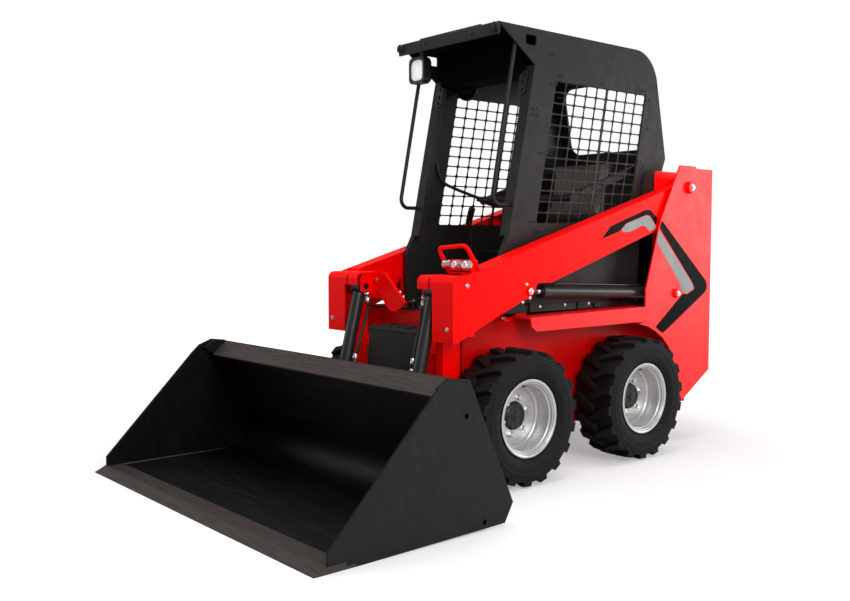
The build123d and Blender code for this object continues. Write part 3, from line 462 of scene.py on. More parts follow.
def fasteners(name, places, axis, across_mm, height_mm, material, body, sides=6, washer=True):
    """Bolt heads at places in metres, all facing one axis: a washer ring, then a bevelled head.

    Each head is rings of a small profile around its axis; the rings of a hexagon head have six
    points. All heads are joined, so the piece is a single mesh.
    """
    ring, n = ring_about(axis, sides)
    places = np.asarray(places, float).reshape(-1, 3)
    r, h = across_mm / 2 / math.cos(math.pi / sides), height_mm
    skirt = [(0.0, r * 1.45), (0.18 * h, r * 1.45)] if washer else [(0.0, r)]
    profile = np.array(skirt + [(0.18 * h, r), (0.82 * h, r), (h, r * 0.84), (h, 0.0)]) / 1000
    head = profile[:, 0, None, None] * n + profile[:, 1, None, None] * ring[None]
    faces = grid_faces(len(profile), sides, wrap_columns=True)
    heads = [(place + head.reshape(-1, 3), faces) for place in places]
    return add_mesh(name, *joined(heads), material, body, smooth=False)


def plates(name, outlines, origin, across, up, thickness_mm, material, body, smooth=False):
    """Flat shapes with a thickness; outlines are (right, up) points in millimetres on a plane.

    The plane passes through origin with directions across and up, and the shapes grow along
    across x up.
    """
    across, up = np.asarray(across, float), np.asarray(up, float)
    out = np.cross(across, up) * thickness_mm / 1000
    parts = []
    for outline in outlines:
        flat = np.asarray(outline, float) / 1000
        base = np.asarray(origin) + flat[:, :1] * across + flat[:, 1:] * up
        low = np.arange(len(base))
        high = low + len(base)
        sides = np.stack([low, np.roll(low, -1), np.roll(high, -1), high], axis=1)
        parts.append((np.vstack([base, base + out]), [low[::-1], high, *sides]))
    return add_mesh(name, *joined(parts), material, body, smooth)


def cut_boxes(name, cases, cut_mm, axes=np.eye(3)):
    """A mesh of boxes with cut edges; cases are (middle in metres, size in millimetres).

    Each box is the hull of its eight corners, every corner drawn in by the cut along one of the
    three axes in turn.
    """
    work = bmesh.new()
    sign = np.array([(x, y, z) for x in (-1, 1) for y in (-1, 1) for z in (-1, 1)], float)
    for middle, size in cases:
        corners = [sign * (np.asarray(size) / 2 - cut_mm * (1 - keep)) / 1000 for keep in np.eye(3)]
        made = [work.verts.new(corner) for corner in np.asarray(middle) + np.vstack(corners) @ axes]
        bmesh.ops.convex_hull(work, input=made)
    bmesh.ops.recalc_face_normals(work, faces=work.faces)
    mesh = bpy.data.meshes.new(name)
    work.to_mesh(mesh)
    work.free()
    return mesh


def blocks(name, cases, material, body, cut_mm=2.0):
    """Boxes with cut edges as one piece; cases are (side_point numbers of the middle, size)."""
    cases = [(side_point(*middle), size) for middle, size in cases]
    return place_mesh(name, cut_boxes(name, cases, cut_mm), material, body)


# %% [markdown]
# ## Small finishes
# Zinc-plated bolts and fittings catch the eye as bright dots on the paint; hose rubber is a
# softer black than the enamel; the stripes are vinyl film, flat and even with a faint sheen; the
# roof's felt liner is nearly black, its own black made darker as painted shade under the roof;
# the lamp's lens is prismatic glass over a white reflector.

# %% Finishes of the added pieces
def vinyl_film(name, dark, light, gloss):
    """Printed vinyl film, flat and even, with a faint sheen."""
    return even_coat(name, dark, light, 90, (25, 0.34, 0.42), (3.0, 3.0, 0.02), IOR=1.45, Specular_IOR_Level=gloss)


zinc = even_coat("zinc_plate", "#C4C4C2", "#E4E4E2", 6.0, (3.0, 0.22, 0.38), (1.0, 3.0, 0.03), 0.4, Metallic=1.0)
# painted shade: the liner's near-black colour is darker than black felt, for the shade inside the cab
felt_with_painted_shade = even_coat("liner_felt_painted_shade", "#020202", "#090909", (1.5, 6.0, 0.3, 0.7), 0.9, (1.5, 6.0, 0.4), IOR=1.45,
                 Specular_IOR_Level=0.05)
hose = even_coat("hose_rubber", "#131313", "#1D1D1D", 5.0, 0.6, (0.9, 1.0, 0.1), IOR=1.5)
stripe_black = vinyl_film("black_vinyl_film", "#020202", "#060606", 0.04)
stripe_grey = vinyl_film("grey_vinyl_film", "#8E8F90", "#999A9B", 0.1)
lens = cells("frosted_lens", "#FFFFFF", "#F0EDEB", 140.0, 0.7, 0.5, IOR=1.5, Coat_Weight=0.6, Coat_Roughness=0.05,
             Emission_Color=(1, 1, 1, 1), Emission_Strength=0.25, Roughness=0.25)

# %% [markdown]
# ## Tyres
# A skid steer tyre is a stiff, nearly square carcass with deep bars that meet in a staggered
# chevron. The carcass is one profile turned about the axle. Each bar runs from just past the
# middle to the shoulder: it leans steeply in the middle of the tread and straightens towards
# the edge, where it is widest. All the bars of a tyre are one array, so a bar's shape is
# written once.

# %% Tyre
lug_pairs = 18
lug_angle = 2 * math.pi / lug_pairs
sweep_radius = 280


def smooth_profile(points, steps=4):
    """A closed loop of points made finer with a Catmull-Rom curve through them."""
    p = np.asarray(points, float)
    p0, p1, p2, p3 = np.roll(p, 1, axis=0), p, np.roll(p, -1, axis=0), np.roll(p, -2, axis=0)
    t = (np.arange(steps) / steps)[None, :, None]
    curve = 0.5 * (2 * p1[:, None] + (p2 - p0)[:, None] * t + (2 * p0 - 5 * p1 + 4 * p2 - p3)[:, None] * t**2
                   + (3 * p1 - p0 - 3 * p2 + p3)[:, None] * t**3)
    return curve.reshape(-1, 2)


def axle_rings(section, around):
    """A section of (x, radius) turned about the axle: rings of (x, y, z) about the wheel's centre in mm."""
    angle = np.arange(around) * 2 * math.pi / around
    x = np.broadcast_to(section[:, :1], (len(section), around))
    return np.stack([x, -section[:, 1:] * np.sin(angle), section[:, 1:] * np.cos(angle)], axis=-1)


def carcass_points():
    """The tyre's section, from bead to tread and back, turned about the axle."""
    half = [(78, 153.5), (84, 156), (84.5, 168), (89, 176), (91.5, 177), (93, 180), (101, 196), (104.5, 212),
            (104.6, 232), (105.6, 236), (105.8, 240), (104.3, 243), (103.5, 250), (102.4, 260), (101, 266),
            (97, 268.6), (80, 269.2), (45, 269.8), (12, 270)]
    mirrored = [(-x, r) for x, r in half[::-1]]
    return axle_rings(smooth_profile(half + mirrored + [(-40, 152.5), (40, 152.5)], 3), 108)


def lug_points():
    """Every bar of a tyre, as an array of (bar, station, corner, xyz) in mm.

    A station at a distance t from the middle plane has a circle angle a(t) = a0 - s(t) / r, with
    s(t) the bar's sweep, and eight corners: foot, wall, bevel and top on either side.
    """
    t = np.array([-13, -4, 10, 25, 40, 55, 70, 84, 95, 101.5])
    lean = np.interp(t, [-13, 45, 103], [0.62, 0.5, 0.12])
    sweep = np.concatenate([[0], np.cumsum(np.diff(t) * (lean[1:] + lean[:-1]) / 2)]) - 6.5
    half_width = np.interp(t, [-13, 0, 30, 103], [11.5, 14.5, 17.5, 21.5])
    top = np.interp(t, [-13, 60, 88, 97, 101.5], [290.8, 289.6, 287.6, 286.4, 285])
    foot = np.interp(t, [-13, 80, 101.5], [268, 266.5, 263])
    share = np.array([1.22, 1.04, 0.97, 0.88])
    level = np.array([0.0, 0.62, 0.93, 1.0])
    width = np.concatenate([-share, share[::-1]])
    rise = np.concatenate([level, level[::-1]])
    radius = foot[:, None] + (top - foot)[:, None] * rise[None]
    sideways = sweep[:, None] + half_width[:, None] * width[None]
    bars = []
    for hand in (-1, 1):
        first = np.arange(lug_pairs) * lug_angle + hand * lug_angle / 4
        angle = first[:, None, None] - sideways[None] / sweep_radius
        x = np.broadcast_to(hand * t[None, :, None], angle.shape)
        bars.append(np.stack([x, -radius[None] * np.sin(angle), radius[None] * np.cos(angle)], axis=-1))
    return np.concatenate(bars)


def wheel_place(points_mm, wheel):
    """Wheel coordinates to the machine's: x grows outwards on either side, a right wheel is half turned."""
    side = 1 if wheel.endswith("left") else -1
    centre = np.array([node_centre(f"tyre_{wheel}")[0], *node_centre(f"hub_{wheel}")[1:]])
    return centre + np.asarray(points_mm) / 1000 * np.array([side, 1, side])


def build_tyre(wheel):
    """Carcass and bars of one tyre as one piece in place of the plain one."""
    rings, bars = carcass_points(), lug_points()
    carcass = grid_faces(*rings.shape[:2], wrap_rows=True, wrap_columns=True)
    stations, corners = bars.shape[1:3]
    bar_faces = grid_faces(stations, corners, wrap_columns=True)
    bar_faces += [range(corners)[::-1], range((stations - 1) * corners, stations * corners)]
    points, faces = joined([(rings.reshape(-1, 3), carcass)] + [(bar.reshape(-1, 3), bar_faces) for bar in bars])
    obj = add_mesh(f"lugged_tyre_{wheel}", wheel_place(points, wheel), faces, finishes["rubber"], f"wheel_{wheel}",
                   merge=False)
    obj.data.polygons.foreach_set("use_smooth", np.arange(len(faces)) < len(carcass))
    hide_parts(f"tyre_{wheel}")


# %% [markdown]
# ## Rims and hubs
# The rim is rolled from one strip: a flange with a rounded lip, a bead seat, a deep well and a
# pressed disc welded inside it. Six wheel nuts hold the disc on a flat ring around the black
# hub, whose cover has its own ring of small bolts.

# %% Rims, nuts and hub covers
rim_section = [(91.5, 152.8), (92, 166.4), (88, 167.2), (86.5, 161), (86, 154), (85.5, 147.6), (74, 146.8), (71, 144),
               (70, 141.2), (20, 139.6), (9, 137.5), (4, 134), (2, 130), (-5.5, 129.4), (-6.5, 127.5), (-3, 125.5),
               (-2.5, 92), (-2.5, 62), (-5, 60), (-12, 59.6), (-16, 61), (-16, 129), (-48, 134.5), (-60, 146),
               (-84, 146.8), (-92, 160), (-92, 166.5), (-86, 166.5), (-84.5, 152.8), (-60, 152.4), (-48, 135.5),
               (0, 135.5), (20, 152.4), (84, 152.6)]
nut_circle, disc_face = 80, -2.6
hub_circle, hub_face = 43, 5.6


def build_rim(wheel):
    """The rim's section turned about the axle, in place of the plain rim."""
    flat = np.column_stack([rim_section, np.zeros(len(rim_section))])
    section = eased_path(np.vstack([flat, flat[:1]]), 2.2, 4)[:, :2]
    rings = axle_rings(section, 96)
    faces = grid_faces(*rings.shape[:2], wrap_columns=True)
    obj = add_mesh(f"pressed_rim_{wheel}", wheel_place(rings, wheel), faces, finishes["silver"], f"wheel_{wheel}")
    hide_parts(f"rim_{wheel}")


def bolt_circle(wheel, count, first, radius, x):
    """Places of count bolts on a circle about the axle, the first at an angle from the top."""
    turn = np.arange(count) * 2 * math.pi / count + first
    return wheel_place(np.stack([np.full(count, x), radius * np.sin(turn), radius * np.cos(turn)], axis=1), wheel)


def build_wheel_trim(wheel):
    """Nuts, hub cover bolts and the valve of one wheel."""
    out, body = (1 if wheel.endswith("left") else -1, 0, 0), f"wheel_{wheel}"
    nuts = bolt_circle(wheel, 6, 0.3, nut_circle, disc_face)
    fasteners(f"wheel_nuts_{wheel}", nuts, out, 23, 18, zinc, body)
    bolts = bolt_circle(wheel, 8, 0.0, hub_circle, hub_face)
    fasteners(f"hub_bolts_{wheel}", bolts, out, 14, 9, iron, body, washer=False)
    cap = [(11, 0), (22, 0), (22, 14), (20, 18), (16, 19), (15, 27), (13, 29), (11, 29), (11, 0)]
    turned(f"hub_cap_{wheel}", cap, wheel_place((0, 0, 0), wheel), out, iron, body, around=32, smooth=False)
    valve = wheel_place([(60, -22, 138), (72, -22, 138), (84, -22, 139)], wheel)
    tubes(f"valve_{wheel}", [(valve, [5, 4, 3.4])], iron, body, around=10)


for wheel in wheel_names:
    build_tyre(wheel)
    build_rim(wheel)
    build_wheel_trim(wheel)
print("lugs on a tyre:", len(lug_points()))

# %% [markdown]
# ## Stripes
# A black film chevron with a grey inner band starts on each arm and carries on across the tower
# behind it. The films are a few tenths of a millimetre thick and lie flat on the paint. Their
# faces are blank.

# %% Stripes on arms and towers
arm_black = [(616, 1046), (679, 1104), (952, 1188), (988, 1186), (1049, 1145), (1030, 1114), (985, 1159), (953, 1163),
             (795, 1119), (746, 1081)]
arm_grey = [(758, 1083), (797, 1118), (955, 1161), (979, 1156), (1031, 1110), (1026, 1096), (985, 1082), (967, 1090),
            (954, 1105), (924, 1111), (832, 1081), (788, 1078)]
tower_black = [(1053, 1138), (1447, 827), (1459, 791), (1440, 767), (1075, 574), (1015, 609), (1246, 769),
               (1273, 761), (1347, 787), (1325, 820), (1038, 1098)]
tower_grey = [(1030, 1089), (1323, 817), (1343, 789), (1271, 767), (1242, 777), (1217, 818), (1013, 1034)]


def stripe(name, outline, x_mm, material, body, radius=9, film=0.5):
    """A film on the outer face at x, with small round corners, on both sides of the machine."""
    shape = rounded_outline(outline, radius)
    for side, hand in hands:
        origin = np.array([side * x_mm / 1000, axle_y, 0])
        plates(f"{name}_{hand}", [shape * (side, 1)], origin, (0, side, 0), (0, 0, 1), film, material, body)


arm_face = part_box("arm_left")[1][0] * 1000
tower_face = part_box("decks")[1][0] * 1000
stripe("arm_stripe", arm_black, arm_face, stripe_black, "arms")
stripe("arm_band", arm_grey, arm_face, stripe_grey, "arms", film=0.7)
stripe("tower_stripe", tower_black, tower_face, stripe_black, "chassis", 14)
stripe("tower_band", tower_grey, tower_face, stripe_grey, "chassis", film=0.7)

# %% [markdown]
# ## Bolts
# Bolts show where panels meet: around the mesh windows, along the pillars, on the visor, on the
# arms and on the pin heads of the towers. They are set out as lists of (behind the front axle,
# height) and mirrored to the other side.

# %% Bolts
def both_sides(name, points, x_mm, across, height, material, body):
    """Bolts on the outer faces at x and -x."""
    for side, hand in hands:
        places = [side_point(side * x_mm, *point) for point in points]
        fasteners(f"{name}_{hand}", places, (side, 0, 0), across, height, material, body)


cab_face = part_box("cab_side_left")[1][0] * 1000
roof_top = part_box("cab_side_left")[1][2] * 1000
cab_bolts = [(378, 1876), (449, 1789), (392, 1746), (273, 1626), (273, 1599), (325, 1432), (261, 1123), (291, 1080),
             (747, 1784), (1061, 1783), (1093, 1742), (1031, 1431), (720, 1092), (1105, 1600)]
both_sides("cab_bolts", cab_bolts, cab_face, 9, 5, iron, "chassis")
both_sides("arm_bolts", [(-241, 853)], arm_face, 12, 7, zinc, "arms")
both_sides("rod_eye_bolts", [(111, 848), (131, 788), (86, 771)], arm_face, 9, 6, zinc, "arms")
pin_face = tower_face + 20.3
cap_shape = [(0.3, 0), (0.3, 31), (18, 31), (20, 29), (20, 0)]
for label, point, share in (("pivot", arm_pivot, 1.0), ("base", lift_base, 0.74)):
    profile = [(height * (share if height > 1 else 1), radius * share) for height, radius in cap_shape]
    turned_pair(f"{label}_cap", profile, (tower_face, *point), (1, 0, 0), finishes["glossy red"], "chassis")
both_sides("pivot_bolts", [arm_pivot], pin_face - 0.4, 20, 9, zinc, "chassis")
both_sides("base_bolts", [lift_base], tower_face + 14.6, 17, 8, zinc, "chassis")
eye_disc = [(0, 0), (0, 21), (5, 21), (6, 20), (6, 0)]
turned_pair("rod_pin_head", eye_disc, (arm_face - 0.2, *rod_pin), (1, 0, 0), red, "arms", around=40)
both_sides("rod_pin_bolts", [rod_pin], arm_face + 6, 18, 9, zinc, "arms")
front_bolts = [side_point(side * 406, -320, 674) for side in (-1, 1)]
fasteners("arm_front_bolts", front_bolts, (0, -1, 0), 13, 7, zinc, "arms")
visor_bolts = [side_point(x, 30, roof_top - 25) for x in (-148, 170)]
fasteners("visor_bolts", visor_bolts, (0, -1, 0), 14, 6, iron, "chassis")
end_cap = [(0, 0), (0, 20), (10, 20), (13, 17), (13, 0)]
turned_pair("visor_end", end_cap, (322, 31, roof_top - 22), (0, -1, 0), finishes["charcoal"], "chassis", around=36)
for side, hand in hands:
    place = side_point(side * 322, 18.2, roof_top - 22)
    fasteners(f"visor_end_bolt_{hand}", [place], (0, -1, 0), 14, 6, iron, "chassis")

# %% [markdown]
# ## Lamp lens
# The lens is a shallow, squarish dome in the housing's recess, with a dark rim around it.

# %% Lamp lens
lamp_centre = side_point(-255, 0, 1852)
lamp_centre[1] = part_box("work_lamp")[0][1]


def pillow(name, centre, right, up, half_wide, half_high, depth_mm, power, material, body, rings=10, around=64):
    """A flat-backed cushion with a squarish outline that swells along right x up.

    A ring at share s lies at s (w |cos a|^(2/p), h |sin a|^(2/p)) and rises depth cos(s pi / 2).
    """
    right, up = np.asarray(right, float), np.asarray(up, float)
    out = np.cross(right, up)
    angle = np.arange(around) * 2 * math.pi / around
    wide = np.sign(np.cos(angle)) * np.abs(np.cos(angle)) ** (2 / power) * half_wide
    high = np.sign(np.sin(angle)) * np.abs(np.sin(angle)) ** (2 / power) * half_high
    share = np.append(np.linspace(0, 1, rings), [1.0, 0.0])
    rise = np.append(depth_mm * np.cos(np.linspace(0, 1, rings) * math.pi / 2), [-3.0, -3.0])
    points = (np.asarray(centre) + share[:, None, None] * (wide[:, None] * right + high[:, None] * up)[None] / 1000
              + rise[:, None, None] * out / 1000)
    return add_mesh(name, points, grid_faces(len(share), around, wrap_columns=True), material, body)


recess = np.array([0, 0.004, 0])
pillow("lamp_lens", lamp_centre + recess, (1, 0, 0), (0, 0, 1), 43.4, 49.2, 9, 3.4, lens, "chassis")

# %% [markdown]
# ## Hoses and outlets
# Each tilt cylinder has a hose along it between two crimped fittings, and a steel pipe along
# each lift cylinder carries oil to its gland. The outlet block on the left arm carries three
# knurled couplers with bright faces, two that face forwards and one turned in, under a hoop.

# %% Hoses at the tilt cylinders
def hose_run(name, corners, radius, body):
    """A hose with a crimped ferrule and a nut at each end."""
    path = eased_path(corners, 0.07, 10)
    ends = []
    for a, b in ((path[0], path[1]), (path[-1], path[-2])):
        direction = (b - a) / np.linalg.norm(b - a)
        ends += [(np.array([a, a + direction * 0.014]), radius * 1.7),
                 (np.array([a + direction * 0.015, a + direction * 0.021]), radius * 1.3),
                 (np.array([a + direction * 0.022, a + direction * 0.062]), radius * 1.55)]
    tubes(name, [(path, radius)], hose, body, around=14)
    tubes(f"{name}_fittings", ends, zinc, body, around=12)


tilt_hoses = {
    "left": [(196, -262, 800), (150, -240, 700), (164, -272, 640), (204, -330, 560), (212, -346, 478)],
    "right": [(-214, -262, 800), (-226, -244, 716), (-214, -285, 640), (-198, -330, 545), (-212, -346, 462)],
}
for hand, stations in tilt_hoses.items():
    hose_run(f"tilt_hose_{hand}", [side_point(*station) for station in stations], 8, "tilt_barrels")
    # elbows that lead from the fittings into the barrel
    side = 1 if hand == "left" else -1
    elbows = []
    for station in (stations[0], stations[-1]):
        start = side_point(*station)
        reach = np.array([side * (238 - abs(station[0])) / 1000, -0.004, 0])
        elbows.append((np.array([start, start + reach]), 9))
    tubes(f"tilt_hose_elbows_{hand}", elbows, finishes["cylinder"], "tilt_barrels", around=12)

# %% Rod ends and pipes of the lift cylinders
rod_end = [(16, 0), (16, 17), (20, 20), (74, 20), (80, 17), (80, 0)]
lift_run = side_point(0, *lift_eye) - side_point(0, *lift_base)
turned_pair("lift_rod_end", rod_end, (lift_x, *lift_eye), -lift_run, iron, "lift_rods", around=36, smooth=True)
lift_way = lift_run / np.linalg.norm(lift_run)
lift_up = np.array([0, lift_way[2], -lift_way[1]])
for side, hand in hands:
    base = side_point(side * lift_x, *lift_base)
    stations = [base + lift_way * along + lift_up * rise for along, rise in
                ((0.10, 0.022), (0.105, 0.034), (0.15, 0.0355), (0.80, 0.0355), (0.845, 0.034), (0.85, 0.022))]
    tubes(f"lift_pipe_{hand}", [(eased_path(stations, 0.02, 5), 5)], finishes["cylinder"], "lift_barrels", around=12)

# %% Outlets on the left arm
outlet_cases = [((360, -187, 931), (136, 38, 54)), ((360, -180, 908), (150, 52, 16))]
outlet_block = blocks("outlet_block", outlet_cases, red, "arms", 3.0)
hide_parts("coupler_block")
hoop = [side_point(*corner) for corner in ((437, -170, 912), (401, -212, 1018), (228, -212, 1006), (268, -178, 892))]
tubes("outlet_guard", [(eased_path(hoop, 0.026, 8), 9)], red, "arms", around=24)
# (height, radius) down from the coupler's face, for a coupler 31 mm long before it is scaled
coupler = [(0, 0), (0, 9), (2, 13.5), (5, 15), (12, 15), (13, 17), (15, 17), (16, 15), (18, 15), (19, 17), (21, 17),
           (22, 15), (24, 15), (25, 17), (30, 17), (31, 0)]
coupler = [((31 - h) * 1.2, r * 1.14) for h, r in coupler[::-1]]
forwards, inwards = (0, -1, 0), (-0.8, -0.6, 0)
for number, (x, behind, axis) in enumerate(((352, -205, forwards), (414, -205, forwards), (284, -192, inwards))):
    place = side_point(x, behind, 937)
    turned(f"outlet_{number}", coupler, place, axis, zinc, "arms", around=36, smooth=False)

# %% [markdown]
# ## Fittings at the front
# The arm lock is a folded plate stowed across the machine behind the tilt cylinders. The step
# box has three toothed treads, and a catch stands on the front panel under the cab.

# %% Lock plate, step treads and catch
lock_shape = rounded_outline([(-217, 826), (-102, 717), (-54, 717), (18, 760), (-126, 891), (-217, 886)], 9)
plates("lock_plate", [lock_shape], side_point(0, -212, 0), (1, 0, 0), (0, 0, 1), 6, red, "arms")
lock_fold = [(-132, 888), (14, 757), (18, 760), (-126, 891)]
plates("lock_plate_fold", [lock_fold], side_point(0, -212, 0), (1, 0, 0), (0, 0, 1), 16, red, "arms")
fasteners("lock_plate_bolt", [side_point(-196, -218, 858)], (0, -1, 0), 13, 7, zinc, "arms")
tread = np.array([(-24, 0), (24, 0), (22, 7), (15, 14), (10, 9), (5, 14), (0, 9), (-5, 14), (-10, 9), (-15, 14),
                  (-22, 7)])
treads = [tread + np.array([x, 650.6]) for x in (-58, 2, 62)]
plates("step_treads", treads, side_point(0, -214, 0), (1, 0, 0), (0, 0, 1), 56, iron, "arms")
step_rim = [((0, -290, 642), (322, 5, 8)), ((0, -300.6, 436), (322, 3, 8))]
blocks("step_rim", step_rim, iron, "arms", 1.0)
catch = [((4, -170, 750), (46, 26, 32)), ((4, -186, 758), (18, 8, 12))]
blocks("front_catch", catch, iron, "chassis", 3.0)
fasteners("front_catch_bolt", [side_point(14, -170, 766)], (0, 0, 1), 10, 6, zinc, "chassis")

# %% [markdown]
# ## Fittings on the chassis and the cab
# A dark skirt closes the gap between the tub and the cab, and small brackets stand on it. The
# pillars carry bolted bracket plates, and inside there are a felt liner, a round speaker, a
# cable and an armrest.

# %% Skirts and brackets
for side, hand in hands:
    skirt = [((side * 341.5, 560, 731), (5, 1000, 34)), ((side * 347, 236, 737), (14, 20, 44)),
             ((side * 346, 560, 734), (10, 3, 34)), ((side * 347, 700, 728), (12, 46, 22)),
             ((side * 347, 905, 737), (14, 60, 40))]
    blocks(f"cab_skirt_{hand}", skirt, finishes["charcoal"], "chassis", 1.0)
    deck_bracket = [((side * 380, 6, 701), (70, 8, 22)), ((side * 405, 16, 694), (24, 26, 8))]
    blocks(f"deck_bracket_{hand}", deck_bracket, red, "chassis", 1.5)
    fasteners(f"deck_bracket_bolt_{hand}", [side_point(side * 404, 2, 702)], (0, -1, 0), 12, 8, zinc, "chassis")
skirt_bolts = [(300, 738), (470, 738), (640, 738), (1010, 738)]
both_sides("skirt_bolts", skirt_bolts, 344, 9, 5, zinc, "chassis")

# %% Pillar brackets
lean = np.array([0, 0.21, 1.0]) / np.hypot(0.21, 1)
out_of_pillar = np.cross((1, 0, 0), lean)
bracket_shape = rounded_outline([(-23, -54), (23, -54), (23, 54), (-23, 54)], 14)
for side, hand in hands:
    seat_point = side_point(side * 284, 104 + 0.21 * (1745 - 1060), 1745)
    plates(f"pillar_bracket_{hand}", [bracket_shape], seat_point, (1, 0, 0), lean, 9, iron, "chassis")
    heads = [seat_point + out_of_pillar * 0.009 + lean * shift for shift in (0.034, -0.004, -0.036)]
    fasteners(f"pillar_bracket_bolts_{hand}", heads, out_of_pillar, 13, 7, iron, "chassis")

# %% Liner, speaker, cable and armrest
liner = [((0, 545, 1961.5), (636, 950, 3)), ((0, 320, 1877), (556, 148, 174))]
blocks("roof_liner", liner, felt_with_painted_shade, "chassis", 1.0)
speaker = [(0, 0), (0, 52), (8, 57), (20, 57), (24, 54), (22, 48), (19, 45), (16, 22), (18, 0)]
turned("speaker", speaker, side_point(-266, 424, 1796), (0.35, -0.94, 0), iron, "chassis", around=40)
blocks("speaker_arm", [((-302, 430, 1800), (56, 18, 40))], iron, "chassis")
cable = [(-324, 250, 1470), (-320, 262, 1392), (-316, 292, 1326), (-300, 372, 1296), (-284, 470, 1266),
         (-276, 520, 1252)]
cable_route = eased_path([side_point(*corner) for corner in cable], 0.04, 8)
tubes("lever_cable", [(cable_route, 8)], hose, "chassis", around=12)
armrest = eased_path([side_point(-278, 500, 1250), side_point(-262, 580, 1240), side_point(-262, 800, 1236)], 0.03, 6)
armrest_r = np.interp(np.arange(len(armrest)), [0, 2, 4, len(armrest) - 1], [12, 22, 26, 26])
tubes("armrest", [(armrest, armrest_r)], iron, "chassis", around=20)
blocks("armrest_post", [((-296, 700, 1222), (68, 40, 26))], iron, "chassis")

# %% [markdown]
# ## Seat
# The cushion and the back are vinyl covers over foam. Each starts as a box a little smaller
# than its final size, and cloth under air pressure swells it until a cap on every point's way
# stops it, so the faces crown and the sides pull in between the corners. Piping follows the
# edge, and a black shell carries both.

# %% Seat cushions
cloth_frames = 20


def baked(obj):
    """Replace an object's mesh by its evaluated one and drop its modifiers."""
    shape = bpy.data.meshes.new_from_object(obj.evaluated_get(bpy.context.evaluated_depsgraph_get()))
    obj.modifiers.clear()
    obj.data = shape


def mesh_points(mesh):
    """All vertex positions of a mesh as an array."""
    flat = np.empty(len(mesh.vertices) * 3)
    mesh.vertices.foreach_get("co", flat)
    return flat.reshape(-1, 3)


def leaned(lean):
    """The three axes of a pad that is leaned back about X, as rows."""
    u, v = np.array([1.0, 0, 0]), np.array([0, math.cos(lean), -math.sin(lean)])
    return np.array([u, v, np.cross(u, v)])


def cushion(name, middle, size, lean, way_mm, material, body):
    """A foam pad of size (x, y, z) in mm at middle, leaned back about X, swollen by cloth pressure."""
    start_size = np.asarray(size) - way_mm * 0.9
    obj = place_mesh(name, cut_boxes(name, [(middle, start_size)], 14, leaned(lean)))
    voxels = obj.modifiers.new("voxels", "REMESH")
    voxels.mode, voxels.voxel_size = "VOXEL", 0.008
    baked(obj)
    before = mesh_points(obj.data)
    cloth = obj.modifiers.new("cloth", "CLOTH")
    cloth.settings.use_pressure = True
    cloth.settings.uniform_pressure_force = 4.0
    cloth.settings.effector_weights.gravity = 0.0
    for step in range(1, cloth_frames + 1):
        bpy.context.scene.frame_set(step)
    baked(obj)
    bpy.context.scene.frame_set(1)
    moved = mesh_points(obj.data) - before
    way = np.linalg.norm(moved, axis=1)
    moved *= np.minimum(1, way_mm / 1000 / np.maximum(way, 1e-9))[:, None]
    low, high = np.array(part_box("seat"))
    obj.data.vertices.foreach_set("co", np.clip(before + moved, low + 0.001, high - 0.001).ravel())
    finer = obj.modifiers.new("finer", "SUBSURF")
    finer.levels = 1
    baked(obj)
    obj.data.polygons.foreach_set("use_smooth", np.ones(len(obj.data.polygons), bool))
    dress(obj, material)
    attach(obj, body)
    return obj


def piping(name, pad, middle, size, lean, face_mm, material, body):
    """A cord in the cover's seam, laid on the pad around its edge at face_mm from its middle plane."""
    u, v, w = leaned(lean)
    half = np.asarray(size)[:2] / 2000
    loop = rounded_outline(np.array([(-1, -1), (1, -1), (1, 1), (-1, 1)]) * half, 0.06, 10)
    loop = np.vstack([loop, loop[:1]])
    run = np.append(0, np.cumsum(np.linalg.norm(np.diff(loop, axis=0), axis=1)))
    along = np.linspace(0, run[-1], 160, endpoint=False)
    ring = np.stack([np.interp(along, run, loop[:, axis]) for axis in (0, 1)], axis=1)
    wanted = np.asarray(middle) + ring[:, :1] * u + ring[:, 1:] * v + w * face_mm / 1000
    held = np.array([pad.closest_point_on_mesh(Vector(point))[1][:] for point in wanted])
    tubes(name, [(np.vstack([held, held[:1]]), 3.2)], material, body, around=8)


seat_low, seat_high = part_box("seat")
base_middle = np.array([0, seat_low[1] + 0.176, seat_low[2] + 0.061])
back_middle = np.array([0, seat_high[1] - 0.062, seat_high[2] - 0.192])
pads = (("seat_cushion", base_middle, (436, 330, 88), 0.0, 26),
        ("seat_back", back_middle, (420, 356, 58), -math.atan2(385, 85), 16))
for name, middle, size, lean, seam in pads:
    pad = cushion(name, middle, size, lean, 22, finishes["vinyl"], "chassis")
    piping(f"{name}_piping", pad, middle, size, lean, seam, iron, "chassis")
shell = [(np.array([0, seat_low[1] + 0.19, seat_low[2] + 0.0115]), (420, 350, 22)),
         (np.array([0, seat_high[1] - 0.062, seat_low[2] + 0.08]), (300, 30, 150))]
place_mesh("seat_shell", cut_boxes("seat_shell", shell, 4.0), iron, "chassis")
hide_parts("seat")

# %% [markdown]
# ## Bucket details
# Flat bars stiffen the slanting edges of the side plates from inside, a weld bead runs where
# the floor meets the cutting edge and the sides, and near-black discs in the side plates' holes
# are painted shade, for the dark seen through them.

# %% Bars, welds and hole discs
edge_bar = np.array([(-1226, 38), (-1226, 72), (-805, 508), (-783, 490), (-1196, 38)], float)
inner_face = 869.0
for side, hand in hands:
    plates(f"bucket_bar_{hand}", [edge_bar * (-side, 1)], side_point(side * inner_face, 0, 0), (0, -side, 0),
           (0, 0, 1), 6, finishes["bucket"], "bucket")
# painted shade: discs in the bucket's near-black inside colour close the side plates' holes
hole_shade_disc = [(0, 0), (0, 15), (3, 15), (3, 0)]
for number, hole in enumerate(((-652, 426), (-563, 33))):
    turned_pair(f"hole_disc_{number}", hole_shade_disc, (inner_face, *hole), (-1, 0, 0), finishes["bucket"], "bucket", 24)


